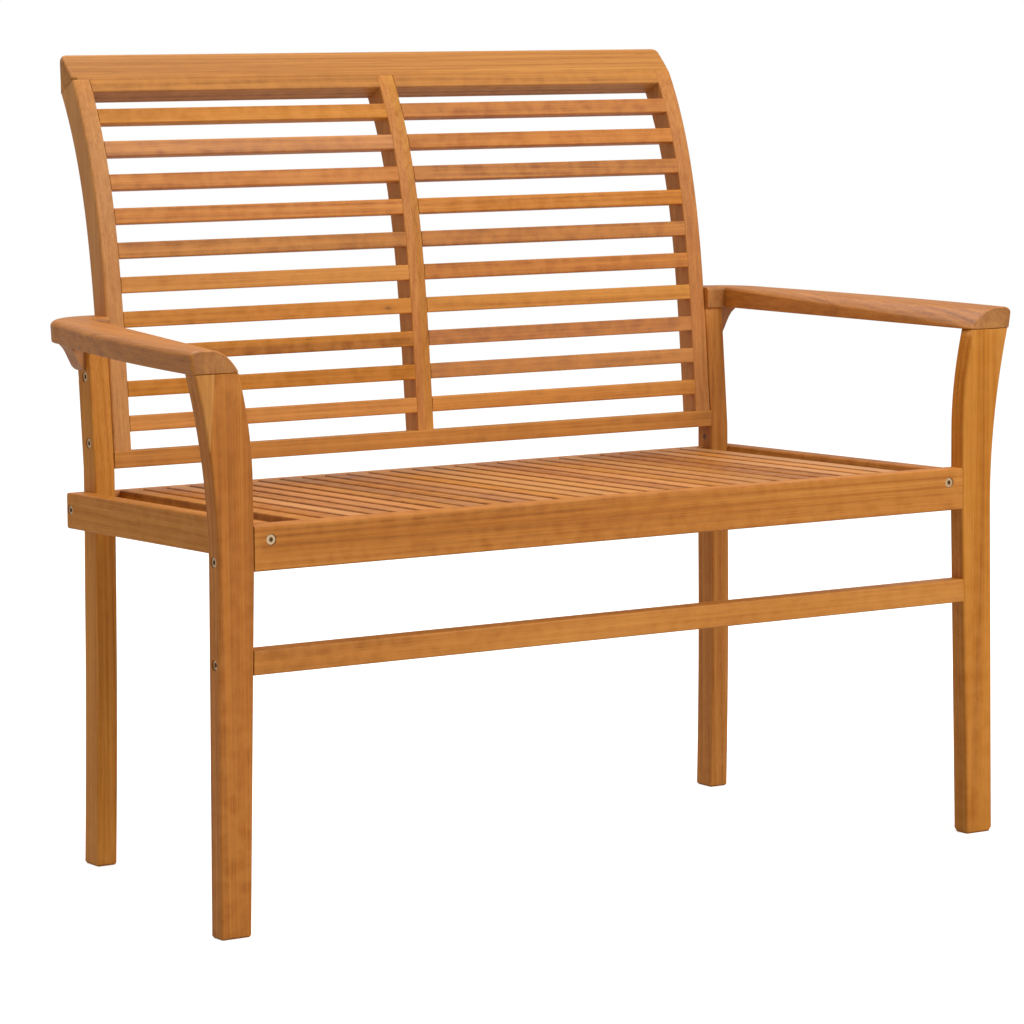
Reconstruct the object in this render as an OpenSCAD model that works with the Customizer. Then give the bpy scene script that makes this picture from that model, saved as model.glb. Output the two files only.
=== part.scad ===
// Teak garden bench with a slatted seat, a curled slatted back and flared arms.
// Millimetres. X runs along the bench, the front is towards -Y and Z is up.
// The origin is on the ground, under the middle of the bounding box.

/* [Overall] */
// Width over the front ends of the two arms
bench_w = 1120; // [1000:10:1500]
// Depth from the faces of the front legs to the rear of the top rail
bench_d = 550; // [520:5:650]
// Height of the crown of the top rail
bench_h = 940; // [900:5:1000]

/* [Front legs] */
// How far the front end of an arm stands out past the plumb part of its leg
arm_overhang = 30.5; // [29:0.5:45]
// Width of the plumb part of the leg
leg_w = 44; // [36:0.5:50]
// Depth of the leg, front to back
leg_d = 24; // [24:1:40]
// Height at which the outer face starts to flare
flare_out_z = 410; // [400:5:480]
// Height at which the inner face starts to flare
flare_in_z = 490; // [470:5:540]
// How far the outer face flares by the top
flare_out = 25; // [5:1:28]
// How far the inner face flares by the top
flare_in = 15.5; // [0:0.5:20]
// How much narrower the leg is at the ground than at the apron, all on its inner face
leg_taper = 10; // [0:0.5:14]
// How far the foot of every leg splays outward from its plumb part
leg_splay = 3; // [0:0.5:6]
// Chamfer round the foot of every leg
foot_ease = 2.5; // [1:0.5:5]

/* [Front rails] */
// Height of the top edge of the aprons above the ground
apron_top = 444; // [420:5:460]
// Height of the front apron board
front_apron_h = 49.5; // [46:0.5:70]
// Thickness of the front apron and of the stretcher
front_apron_t = 24; // [20:1:24]
// Height of the underside of the stretcher above the ground
stretcher_z = 283; // [150:1:320]
// Height of the stretcher
stretcher_h = 27.5; // [26:0.5:45]

/* [Side aprons] */
// Thickness of a side apron
side_apron_t = 23; // [22:1:30]
// Height of a side apron
side_apron_h = 41.5; // [38:0.5:60]
// Step from the inner face of the front leg to the outer face of the side apron
apron_inset = 10.5; // [2:0.5:30]
// How far a side apron stops short of the rear face of the rear leg
apron_short = 3; // [0:1:4]
// Fall of the aprons and of the seat from the front apron to the rear legs
seat_fall = 5; // [0:0.5:15]

/* [Rear legs] */
// Width of a rear leg
rear_leg_w = 26; // [24:0.5:40]
// Depth of a rear leg from the ground to below the seat
rear_leg_d = 32; // [30:1:45]
// Depth of a rear leg above the seat
leg_top_d = 30; // [30:1:40]
// How far the foot of a rear leg stands back from its plumb part
rear_foot_back = 7.5; // [0:0.5:12]
// How far a rear leg bows forward between its foot and the bottom rail of the back
rear_leg_bow = 0.5; // [0:0.5:6]
// Height of the foremost point of a rear leg
rear_foot_z = 330; // [250:5:385]

/* [Seat] */
// Number of seat slats
slat_count = 27; // [27:1:27]
// Width of a seat slat
slat_w = 22.5; // [18:0.5:25]
// Thickness of a seat slat
slat_t = 12; // [11:0.5:18]
// How far the slats lie below the top edge of the aprons
slat_drop = 0.6; // [0:0.1:6]
// Open gap from the outer slats to the inner faces of the rear legs
seat_gap = 15; // [4:1:30]
// Height of the ledger and of the batten under the slats
ledger_h = 20; // [19:0.5:30]
// Depth of the ledger and of the batten, front to back
ledger_d = 25; // [20:1:40]
// Thickness of the rear rail
rear_rail_t = 29; // [28:0.5:30]
// Height of the rear rail
rear_rail_h = 32; // [28:1:38]
// How far the slats reach onto the rear rail
slat_lap = 16; // [12:1:20]

/* [Back] */
// Height of the underside of the bottom rail of the back
back_rail_z = 465.5; // [462:0.5:480]
// Height of the bottom rail
back_rail_h = 20; // [18:0.5:28]
// Thickness of the bottom rail, which passes in front of the stiles
back_rail_t = 12.5; // [11:0.5:16]
// Width of a back stile
stile_w = 23; // [18:0.5:26]
// Depth of a back stile at its foot, square to its curve
stile_d = 29; // [28:1:40]
// How much deeper a stile is under the top rail
stile_grow = 4; // [0:0.5:8]
// Even backward lean of the stiles from the bottom rail to the top rail
stile_lean = 35; // [10:1:40]
// Further backward curl of the stiles by the top rail
stile_curl = 46; // [20:1:70]
// Power of the curl: a higher one keeps it to the top
curl_power = 4.2; // [2:0.05:5]
// Number of levels of back slats
back_levels = 10; // [10:1:10]
// Height of the face of a back slat
back_slat_h = 18.5; // [14:0.5:24]
// Thickness of a back slat
back_slat_t = 12.5; // [10:0.5:16]

/* [Top rail] */
// Height of the top rail from its lower front edge to its crown
crest_h = 42; // [38:1:60]
// Reach of the top rail behind its lower front edge
crest_reach = 44; // [42:1:60]
// Height of the lip between the stiles
lip_h = 14; // [10:1:18]
// Thickness of the lip
lip_t = 30; // [24:1:34]
// Radius of the crown
crown_r = 6; // [4:0.5:12]
// How far the broad face bulges
crest_bulge = 0.5; // [0:0.5:5]

/* [Arms] */
// Height of the underside of an arm at its front end
arm_z = 608; // [590:1:640]
// Rise of the arm from its front end to the rear leg
arm_rise = 6.8; // [0:0.2:20]
// Thickness of an arm
arm_t = 25.5; // [24.5:0.5:32]
// Width of the front end of an arm
arm_w = 59; // [54:1:60]
// How far the outer edge comes in by its rear corner
arm_in = 54; // [40:1:56]
// How far the middle of the outer edge bows out past a straight line
arm_bow = 11; // [0:0.5:14]
// Radius of the rear outer corner
arm_corner_r = 70; // [20:1:70]
// How far the arm reaches behind the front face of the rear leg
arm_back = 53; // [51:1:70]
// How far the return of the arm stands in front of the rear leg
arm_return = 5; // [2:1:12]
// Radius of the rolled inner edge
roll_r = 24; // [8:1:24]
// Size to which the roll fades at its rear end
roll_rear = 3; // [1:0.5:8]

/* [Brackets] */
// Width of a bracket where it meets the arm
bracket_w = 29; // [24:0.5:40]
// Height of a bracket
bracket_h = 36.5; // [30:0.5:40]
// Thickness of a bracket
bracket_t = 24; // [16:1:28]

/* [Bolts] */
// Diameter of a bolt
bolt_d = 6; // [5:0.5:6]
// Diameter of a bolt head
bolt_head_d = 11; // [9:0.5:12]
// Height of a bolt head
bolt_head_h = 6; // [4:0.5:6.5]
// Width of the hexagon socket over its corners
socket_d = 5.8; // [4:0.2:7]
// Depth of the hexagon socket
socket_deep = 3.5; // [2:0.5:4]
// Depth at which a bolt head seats below the wood
bolt_sink = 7; // [6.5:0.5:9]
// Distance from the end of a rail to its barrel nut
nut_in = 50; // [40:1:70]
// Diameter of a barrel nut
nut_d = 10; // [9:0.5:10.5]
// Length of a barrel nut
nut_l = 13; // [12:0.5:13]
// How far a bolt runs past the axis of its nut
bolt_past = 8; // [5:1:15]
// How far the bolts of the back run into the outer stiles
back_bolt_bite = 14; // [10:1:16]
// How far those bolts stand behind the front face of the rear leg
back_bolt_in = 13; // [10:1:18]
// Height of the bolt in the side apron below the top edge of the apron
side_bolt_drop = 16; // [12:0.5:18]
// Distance of that bolt from the outer face of the side apron
side_bolt_inset = 10; // [9:0.5:12]
// Height of the bolt in the front apron above its lower edge
apron_bolt_rise = 12.5; // [9:0.5:15]
// Height of the lower bolt of the back above the bottom rail
low_bolt_rise = 10; // [8:0.5:12]
// Height of the upper bolt of the back above the lower one
bolt_pitch = 76.5; // [50:0.5:90]
// How far the bolt in the rear of a side apron stands behind the front face of the rear leg
rear_bolt_in = 19.5; // [19:0.5:20.5]
// Height of that bolt below the top edge of the rear rail
rear_bolt_drop = 7; // [7:0.5:12]

/* [Screws] */
// Diameter of a wood screw
screw_d = 3.5; // [3:0.1:4]
// Diameter of the head of a wood screw
screw_head_d = 7; // [6:0.5:7]
// Length of a wood screw in the seat
screw_l = 26; // [22:0.5:27]
// How far a seat screw bites into its slat
screw_bite = 8; // [6:0.5:9]
// Length of the screw behind a bracket
bracket_screw_l = 39; // [36:1:42]
// Height of that screw below the underside of the arm
bracket_screw_drop = 8; // [6:0.5:10]
// Height of the screw in the inner face of the rear leg below the bottom rail
leg_screw_drop = 14.5; // [8:0.5:15]
// Wood left between the tip of that screw and the outer face of the leg
leg_screw_clear = 6; // [4:0.5:10]

/* [Joints] */
// Clearance round tenons, bolts, nuts and screws
play = 0.2; // [0.1:0.05:0.3]
// Height or length of a stub tenon
tenon_l = 10; // [6:0.5:12]
// Thickness of a stub tenon
tenon_t = 9; // [8:0.5:12]
// Width of a stub tenon
tenon_w = 15; // [12:0.5:17]
// Thickness of the stub tenons of the bottom rail
rail_tenon_t = 7; // [5:0.5:9]
// Depth of the housing of a back slat in a stile
housing = 5; // [3:0.5:6]

/* [Hidden] */
$fn = 48;
TEAK_ARM = "#b98450";
TEAK_LEG = "#c08a4e";
TEAK_RAIL = "#b57c45";
TEAK_SEAT = "#cfa06a";
TEAK_BACK = "#a9713c";
TEAK_INNER = "#8a5a30";
STEEL = "#c9b78f";
far = bench_w + bench_h;
flare_steps = 12;
flare_power = 1.9;
curve_steps = 24;
arm_steps = 12;
corner_steps = 8;
crown_steps = 10;
broad_steps = 6;
foot_power = 2;
// The ogee of a bracket from its tip to its foot, as shares of its width and of its height
ogee = [[1, 0.02], [0.845, 0.107], [0.707, 0.192], [0.61, 0.274], [0.514, 0.384], [0.42, 0.526],
    [0.334, 0.666], [0.265, 0.778], [0.2, 0.871], [0.103, 0.948], [0, 1]];

front_y = -bench_d / 2;
rear_y = bench_d / 2;
apron_back_y = front_y + front_apron_t;
crest_y = rear_y - crest_reach;
back_y = crest_y - stile_lean - stile_curl;
leg_back_y = back_y + leg_top_d;
apron_end_y = leg_back_y - apron_short;
rear_rail_y = leg_back_y - rear_rail_t;

leg_out_x = bench_w / 2 - arm_overhang;
leg_in_x = leg_out_x - leg_w;
taper_z = apron_top - front_apron_h;
apron_out_x = leg_in_x - apron_inset;
apron_in_x = apron_out_x - side_apron_t;
rear_in_x = apron_in_x - rear_leg_w;
stile_in_x = rear_in_x - stile_w;
seat_x = rear_in_x - seat_gap;
slat_pitch = (2 * seat_x - slat_w) / (slat_count - 1);

seat_slope = seat_fall / (back_y - apron_back_y);
slat_rear_y = rear_rail_y + slat_lap;
arm_slope = arm_rise / (back_y - front_y);
rail_top_z = back_rail_z + back_rail_h;
crest_z = bench_h - crest_h;
lip_z = crest_z + lip_h;

apron_bolt_z = apron_top - front_apron_h + apron_bolt_rise;
stretcher_bolt_z = stretcher_z + stretcher_h / 2;
side_bolt_x = apron_out_x - side_bolt_inset;
side_bolt_z = apron_top - side_bolt_drop;
rear_bolt_y = back_y + rear_bolt_in;
rear_bolt_z = seat_under(rear_bolt_y) - rear_bolt_drop;
low_bolt_z = rail_top_z + low_bolt_rise;
high_bolt_z = low_bolt_z + bolt_pitch;

leg_bolt_l = leg_w - bolt_sink + nut_in + bolt_past;
side_bolt_l = front_apron_t - bolt_sink + nut_in + bolt_past;
rear_bolt_l = side_apron_t - bolt_sink + rear_leg_w + nut_in + bolt_past;
back_bolt_l = rear_leg_w - bolt_sink + back_bolt_bite;

leg_screw_l = rear_leg_w - leg_screw_clear;
ledger_screw_y = apron_back_y + ledger_d / 2;
batten_y = (apron_back_y + slat_rear_y - ledger_d) / 2;
batten_screw_y = batten_y + ledger_d / 2;
rail_screw_y = rear_rail_y + screw_head_d / 2 + 2;

// Outward splay of every leg, and the tapered inner face of a front leg, at a height z
function splay(z) = leg_splay * max(0, 1 - z / taper_z);
function leg_face_x(z) = leg_in_x + leg_taper * max(0, 1 - z / taper_z);

// Height of the top edge of the side aprons, and of the seat slats, at a depth y
function apron_z(y) = apron_top - seat_slope * (y - apron_back_y);
function seat_z(y) = apron_z(y) - slat_drop;
function seat_under(y) = seat_z(y) - slat_t;

// Height of the underside of the arms at a depth y
function arm_under(y) = arm_z + arm_slope * (y - front_y);

// Front face of the back at a height z: an even lean plus a curl
function rise(z) = max(0, (z - back_rail_z) / (crest_z - back_rail_z));
function face_y(z) = back_y + stile_lean * rise(z) + stile_curl * pow(rise(z), curl_power);
function face_slope(z) =
    (stile_lean + stile_curl * curl_power * pow(rise(z), curl_power - 1)) / (crest_z - back_rail_z);
function face_angle(z) = atan(face_slope(z));
function stile_depth(z) = stile_d + stile_grow * pow(rise(z), 2);

// Front face and depth of a rear leg: it leans back towards its foot and again towards the back
function over_foot(z) = min(1, max(0, (z - rear_foot_z) / (back_rail_z - rear_foot_z)));
function leg_face_y(z) = face_y(z) - rear_leg_bow * (1 - pow(over_foot(z), 2))
    + rear_foot_back * pow(max(0, 1 - z / rear_foot_z), foot_power);
function leg_depth(z) = rear_leg_d + (leg_top_d - rear_leg_d) * over_foot(z);

// The point at a distance behind the front face of the back, square to it
function behind(z, dist) =
    [face_y(z) + dist * cos(face_angle(z)), z - dist * sin(face_angle(z))];

// Points along an arc of a circle
function arc(cx, cy, r, from, to, steps) =
    [for (i = [0 : steps]) let (a = from + (to - from) * i / steps) [cx + r * cos(a), cy + r * sin(a)]];

// Heights in even steps
function levels(low, high, steps) = [for (i = [0 : steps]) low + (high - low) * i / steps];

// Middle height of each level of back slats, with even gaps along the curve from rail to rail
back_zs = levels(rail_top_z, crest_z, curve_steps);
function step_along(i) = norm([back_zs[i] - back_zs[i - 1], face_y(back_zs[i]) - face_y(back_zs[i - 1])]);
function run_to(i) = i == 0 ? 0 : run_to(i - 1) + step_along(i);
back_runs = [for (i = [0 : curve_steps]) [run_to(i), back_zs[i]]];
back_gap = (back_runs[curve_steps][0] - back_levels * back_slat_h) / (back_levels + 1);
function back_slat_z(level) = lookup(level * back_gap + (level - 0.5) * back_slat_h, back_runs);

function two_digits(i) = i < 10 ? str("0", i) : str(i);
SIDES = ["left", "right"];

// Placing

// Extrudes an outline in Y and Z along X, from x0 to x1
module along_x(x0, x1) {
    translate([x0, 0, 0])
    rotate([90, 0, 90])
    linear_extrude(x1 - x0)
    children();
}

// Extrudes an outline in X and Z along Y, from y0 to y1
module along_y(y0, y1) {
    translate([0, y1, 0])
    rotate([90, 0, 0])
    linear_extrude(y1 - y0)
    children();
}

// Everything is drawn for the side at +X and mirrored for the other
module on_side(side) {
    if (side == "left") mirror([1, 0, 0]) children();
    else children();
}

module both_sides() {
    for (side = SIDES) on_side(side) children();
}

// A block with its middle at a point
module block(x, y, z, middle) {
    translate(middle)
    cube([x, y, z], center = true);
}

// The space under the arms' sloping undersides
module under_arm() {
    along_x(0, far)
    polygon([
        [front_y, 0],
        [rear_y, 0],
        [rear_y, arm_under(rear_y)],
        [front_y, arm_under(front_y)]
    ]);
}

// Bolts, nuts and screws, and the holes that hold them

// The underside of the head is at z = 0 and the shank runs down
module bolt(shank_l) {
    difference() {
        union() {
            cylinder(d = bolt_head_d, h = bolt_head_h);
            translate([0, 0, -shank_l]) cylinder(d = bolt_d, h = shank_l + 1);
        }
        translate([0, 0, bolt_head_h - socket_deep]) cylinder(d = socket_d, h = socket_deep + 1, $fn = 6);
    }
}

module bolt_hole(shank_l) {
    translate([0, 0, -shank_l - play]) cylinder(d = bolt_d + 2 * play, h = shank_l + 1);
    cylinder(d = bolt_head_d + 6 * play, h = bolt_sink + 1);
}

module leg_bolt_places() {
    for (z = [apron_bolt_z, stretcher_bolt_z])
        translate([leg_out_x - bolt_sink, front_y + front_apron_t / 2, z])
        rotate([0, 90, 0])
        children();
}

module side_bolt_place() {
    translate([side_bolt_x, front_y + bolt_sink, side_bolt_z])
    rotate([90, 0, 0])
    children();
}

module rear_bolt_place() {
    translate([apron_out_x - bolt_sink, rear_bolt_y, rear_bolt_z])
    rotate([0, 90, 0])
    children();
}

module back_bolt_places() {
    for (z = [low_bolt_z, high_bolt_z])
        translate([apron_in_x - bolt_sink, face_y(z) + back_bolt_in, z])
        rotate([0, 90, 0])
        children();
}

module bolts() {
    color(STEEL)
    both_sides() {
        leg_bolt_places() bolt(leg_bolt_l);
        side_bolt_place() bolt(side_bolt_l);
        rear_bolt_place() bolt(rear_bolt_l);
        back_bolt_places() bolt(back_bolt_l);
    }
}

// The nut lies along z, with its middle at the origin and its thread along x
module barrel_nut() {
    difference() {
        cylinder(d = nut_d, h = nut_l, center = true);
        rotate([0, 90, 0]) cylinder(d = bolt_d + 2 * play, h = nut_d + 2, center = true);
    }
}

// A blind hole for the nut, open at the far end of a board t thick
module nut_hole(t) {
    translate([0, 0, -nut_l / 2 - play]) cylinder(d = nut_d + 2 * play, h = t + nut_l);
}

// Nuts in the ends of the front apron and of the stretcher, put in from behind
module leg_nut_places() {
    for (z = [apron_bolt_z, stretcher_bolt_z])
        translate([leg_in_x - nut_in, front_y + front_apron_t / 2, z])
        rotate([-90, 0, 0])
        children();
}

// The nut in the front end of a side apron, put in from inside the bench
module side_nut_place() {
    translate([side_bolt_x, apron_back_y + nut_in, side_bolt_z])
    rotate([0, -90, 0])
    rotate([0, 0, 90])
    children();
}

// The nut in the end of the rear rail, put in from behind
module rear_nut_place() {
    translate([rear_in_x - nut_in, rear_bolt_y, rear_bolt_z])
    rotate([-90, 0, 0])
    children();
}

module barrel_nuts() {
    color(STEEL)
    both_sides() {
        leg_nut_places() barrel_nut();
        side_nut_place() barrel_nut();
        rear_nut_place() barrel_nut();
    }
}

// The screw stands on its head at z = 0, or with room round it as the hole that holds it
module wood_screw(l, room = 0) {
    head_h = (screw_head_d - screw_d) / 2;
    cylinder(d1 = screw_head_d + 2 * room, d2 = screw_d + 2 * room, h = head_h);
    cylinder(d = screw_d + 2 * room, h = l + room);
}

module screw_hole(l) {
    wood_screw(l, play);
    translate([0, 0, -far]) cylinder(d = screw_head_d + 2 * play, h = far + play / 2);
}

module seat_screw_place(x, y) {
    translate([x, y, seat_under(y) + screw_bite - screw_l])
    children();
}

// The screw in the inner face of the rear leg, seen under the bottom rail
module leg_screw_place() {
    z = back_rail_z - leg_screw_drop;
    translate([rear_in_x, leg_face_y(z) + leg_depth(z) / 2, z])
    rotate([0, 90, 0])
    children();
}

// The screw through the rear leg into the top of the bracket
module bracket_screw_place() {
    translate([rear_in_x, bracket_mid_y(), arm_under(bracket_mid_y()) - bracket_screw_drop])
    rotate([0, 90, 0])
    children();
}

module wood_screws() {
    color(STEEL) {
        for (i = [1 : slat_count], y = [ledger_screw_y, batten_screw_y, rail_screw_y])
            seat_screw_place(slat_x(i), y)
            wood_screw(screw_l);
        both_sides() {
            leg_screw_place() wood_screw(leg_screw_l);
            bracket_screw_place() wood_screw(bracket_screw_l);
        }
    }
}

// Legs

// The outline of a front leg seen from the front: tapered, plumb, then flared outward to the arm
module front_leg_outline() {
    top = arm_under(front_y + leg_d);
    function flare(z, start) = pow((z - start) / (arm_z - start), flare_power);
    outer = [for (z = levels(flare_out_z, top, flare_steps))
        [leg_out_x + flare_out * flare(z, flare_out_z), z]];
    inner = [for (z = levels(top, flare_in_z, flare_steps))
        [leg_in_x + flare_in * flare(z, flare_in_z), z]];
    polygon(concat(
        [[leg_face_x(foot_ease), foot_ease], [leg_face_x(0) + foot_ease, 0]],
        [[leg_out_x + splay(0) - foot_ease, 0], [leg_out_x + splay(foot_ease), foot_ease]],
        [[leg_out_x, taper_z]],
        outer,
        inner,
        [[leg_in_x, taper_z]]
    ));
}

// A front foot seen from the side, chamfered at both ends, on a leg that goes on upward
module front_foot_outline() {
    leg_rear = front_y + leg_d;
    polygon([
        [front_y + foot_ease, 0],
        [leg_rear - foot_ease, 0],
        [leg_rear, foot_ease],
        [leg_rear, far],
        [front_y, far],
        [front_y, foot_ease]
    ]);
}

// The stub tenon of a front leg in the arm, or with room round it as its mortise
module front_leg_tenon(room = 0) {
    x = (leg_in_x + flare_in + leg_out_x + flare_out) / 2;
    block(
        tenon_w + 2 * room, tenon_t + 2 * room, 2 * tenon_l + room,
        [x, front_y + leg_d / 2, arm_z + room / 2]
    );
}

module front_leg(side) {
    color(TEAK_LEG)
    on_side(side)
    difference() {
        union() {
            intersection() {
                along_y(front_y, front_y + leg_d) front_leg_outline();
                along_x(0, far) front_foot_outline();
                under_arm();
            }
            front_leg_tenon();
        }
        leg_bolt_places() bolt_hole(leg_bolt_l);
    }
}

// The outline of a rear leg seen from the side: leaning, plumb, then along the curve of the back
module rear_leg_outline() {
    heights = concat(
        levels(foot_ease, back_rail_z, curve_steps),
        levels(back_rail_z, arm_under(rear_y), curve_steps / 2)
    );
    polygon(concat(
        [[leg_face_y(0) + foot_ease, 0], [leg_face_y(0) + rear_leg_d - foot_ease, 0]],
        [for (z = heights) [leg_face_y(z) + leg_depth(z), z]],
        [for (i = [len(heights) - 1 : -1 : 0]) [leg_face_y(heights[i]), heights[i]]]
    ));
}

// A rear leg seen from the front: splayed below the aprons and chamfered at the foot
module rear_leg_front() {
    polygon([
        [rear_in_x + splay(0) + foot_ease, 0],
        [apron_in_x + splay(0) - foot_ease, 0],
        [apron_in_x + splay(foot_ease), foot_ease],
        [apron_in_x, taper_z],
        [apron_in_x, far],
        [rear_in_x, far],
        [rear_in_x, taper_z],
        [rear_in_x + splay(foot_ease), foot_ease]
    ]);
}

// The stub tenon of a rear leg in the arm, or with room round it as its mortise
module rear_leg_tenon(room = 0) {
    y = face_y(arm_under(back_y)) + leg_top_d / 2;
    block(
        tenon_t + 2 * room, tenon_w + 2 * room, 2 * tenon_l + room,
        [rear_in_x + rear_leg_w / 2, y, arm_under(y) + room / 2]
    );
}

// The stub tenon of the bottom rail in the rear leg, or with room round it as its mortise
module back_rail_tenon(room = 0) {
    block(
        2 * tenon_l + room, rail_tenon_t + 2 * room, tenon_w + 2 * room,
        [rear_in_x + room / 2, back_y + back_rail_t / 2, back_rail_z + back_rail_h / 2]
    );
}

module rear_leg(side) {
    color(TEAK_LEG)
    on_side(side)
    difference() {
        union() {
            intersection() {
                along_x(rear_in_x, apron_out_x) rear_leg_outline();
                along_y(front_y, rear_y) rear_leg_front();
                under_arm();
            }
            rear_leg_tenon();
        }
        back_rail_tenon(play);
        rear_bolt_place() bolt_hole(rear_bolt_l);
        back_bolt_places() bolt_hole(back_bolt_l);
        leg_screw_place() screw_hole(leg_screw_l);
        bracket_screw_place() screw_hole(bracket_screw_l);
    }
}

// Aprons, stretcher and rear rail

// A board that fits between the front legs, from a height z upward
module front_board(z, h) {
    along_y(front_y, apron_back_y)
    polygon([
        [-leg_face_x(z), z],
        [leg_face_x(z), z],
        [leg_face_x(z + h), z + h],
        [-leg_face_x(z + h), z + h]
    ]);
}

module front_apron() {
    color(TEAK_RAIL)
    difference() {
        front_board(apron_top - front_apron_h, front_apron_h);
        both_sides() {
            leg_bolt_places() bolt_hole(leg_bolt_l);
            leg_nut_places() nut_hole(front_apron_t);
            side_bolt_place() bolt_hole(side_bolt_l);
        }
    }
}

module front_stretcher() {
    color(TEAK_RAIL)
    difference() {
        front_board(stretcher_z, stretcher_h);
        both_sides() {
            leg_bolt_places() bolt_hole(leg_bolt_l);
            leg_nut_places() nut_hole(front_apron_t);
        }
    }
}

module side_apron(side) {
    color(TEAK_RAIL)
    on_side(side)
    difference() {
        along_x(apron_in_x, apron_out_x)
        polygon([
            [apron_back_y, apron_z(apron_back_y) - side_apron_h],
            [apron_end_y, apron_z(apron_end_y) - side_apron_h],
            [apron_end_y, apron_z(apron_end_y)],
            [apron_back_y, apron_z(apron_back_y)]
        ]);
        side_bolt_place() bolt_hole(side_bolt_l);
        side_nut_place() nut_hole(side_apron_t);
        rear_bolt_place() bolt_hole(rear_bolt_l);
    }
}

// A board that carries the slats: its top edge follows their undersides
module slat_bearer(half_l, y0, y1, h) {
    along_x(-half_l, half_l)
    polygon([
        [y0, seat_under(y0) - h],
        [y1, seat_under(y0) - h],
        [y1, seat_under(y1)],
        [y0, seat_under(y0)]
    ]);
}

module seat_screw_holes(y) {
    for (i = [1 : slat_count])
        seat_screw_place(slat_x(i), y)
        screw_hole(screw_l);
}

// The rear rail is rebated for the ends of the slats, and stands level with them behind the rebate
module rear_rail_outline() {
    low = seat_under(rear_rail_y) - rear_rail_h;
    step_y = slat_rear_y + play;
    polygon([
        [rear_rail_y, low],
        [leg_back_y, low],
        [leg_back_y, seat_z(leg_back_y)],
        [step_y, seat_z(step_y)],
        [step_y, seat_under(step_y)],
        [rear_rail_y, seat_under(rear_rail_y)]
    ]);
}

module rear_rail() {
    color(TEAK_RAIL)
    difference() {
        along_x(-rear_in_x, rear_in_x) rear_rail_outline();
        seat_screw_holes(rail_screw_y);
        both_sides() {
            rear_bolt_place() bolt_hole(rear_bolt_l);
            rear_nut_place() nut_hole(rear_rail_t);
        }
    }
}

// Behind the front apron, from one side apron to the other
module seat_ledger() {
    color(TEAK_INNER)
    difference() {
        slat_bearer(apron_in_x, apron_back_y, apron_back_y + ledger_d, ledger_h);
        seat_screw_holes(ledger_screw_y);
    }
}

// Across the middle of the slats
module seat_batten() {
    color(TEAK_INNER)
    difference() {
        slat_bearer(seat_x, batten_y, batten_y + ledger_d, ledger_h);
        seat_screw_holes(batten_screw_y);
    }
}

// Seat slats

function slat_x(i) = (i - (slat_count + 1) / 2) * slat_pitch;

module seat_slat(i) {
    color(TEAK_SEAT)
    difference() {
        along_x(slat_x(i) - slat_w / 2, slat_x(i) + slat_w / 2)
        polygon([
            [apron_back_y, seat_under(apron_back_y)],
            [slat_rear_y, seat_under(slat_rear_y)],
            [slat_rear_y, seat_z(slat_rear_y)],
            [apron_back_y, seat_z(apron_back_y)]
        ]);
        for (y = [ledger_screw_y, batten_screw_y, rail_screw_y])
            seat_screw_place(slat_x(i), y)
            screw_hole(screw_l);
    }
}

// Back

// The outline of a stile seen from the side, square to its curve at the top
module stile_outline() {
    heights = levels(back_rail_z, lip_z, curve_steps);
    polygon(concat(
        [for (z = heights) [face_y(z), z]],
        [for (i = [curve_steps : -1 : 1]) behind(heights[i], stile_depth(heights[i]))],
        [[behind(back_rail_z, stile_d)[0], back_rail_z]]
    ));
}

// A back slat at its level, with its face flush with the stiles, or with room round it
module slat_bar(level, x0, x1, room = 0) {
    z = back_slat_z(level);
    translate([x0, face_y(z), z])
    rotate([-face_angle(z), 0, 0])
    translate([0, -room, -back_slat_h / 2 - room])
    cube([x1 - x0, back_slat_t + 2 * room, back_slat_h + 2 * room]);
}

// The stub tenon of a stile in the top rail, or with room round it as its mortise
module stile_tenon(x, room = 0) {
    top = behind(lip_z, stile_depth(lip_z) / 2);
    translate([x, top[0], top[1]])
    rotate([-face_angle(lip_z), 0, 0])
    block(tenon_t + 2 * room, tenon_w + 2 * room, 2 * tenon_l + room, [0, 0, room / 2]);
}

// The bottom rail without its tenons, flush with the faces of the stiles
module bottom_bar() {
    translate([-rear_in_x, back_y, back_rail_z])
    cube([2 * rear_in_x, back_rail_t, back_rail_h]);
}

// The middle line of each stile is at x, and its foot is rebated for the bottom rail
module back_stile(x) {
    color(TEAK_BACK)
    difference() {
        union() {
            along_x(x - stile_w / 2, x + stile_w / 2) stile_outline();
            stile_tenon(x);
        }
        bottom_bar();
        for (level = [1 : back_levels]) {
            if (x < rear_in_x - stile_w)
                slat_bar(level, x + stile_w / 2 - housing - play, x + stile_w, play);
            if (x > stile_w - rear_in_x)
                slat_bar(level, x - stile_w, x - stile_w / 2 + housing + play, play);
        }
        both_sides() back_bolt_places() bolt_hole(back_bolt_l);
    }
}

outer_stile_x = (stile_in_x + rear_in_x) / 2;

module back_slats(level) {
    color(TEAK_BACK)
    both_sides()
    slat_bar(level, stile_w / 2 - housing, stile_in_x + housing);
}

module back_bottom_rail() {
    color(TEAK_BACK)
    union() {
        bottom_bar();
        both_sides() back_rail_tenon();
    }
}

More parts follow.
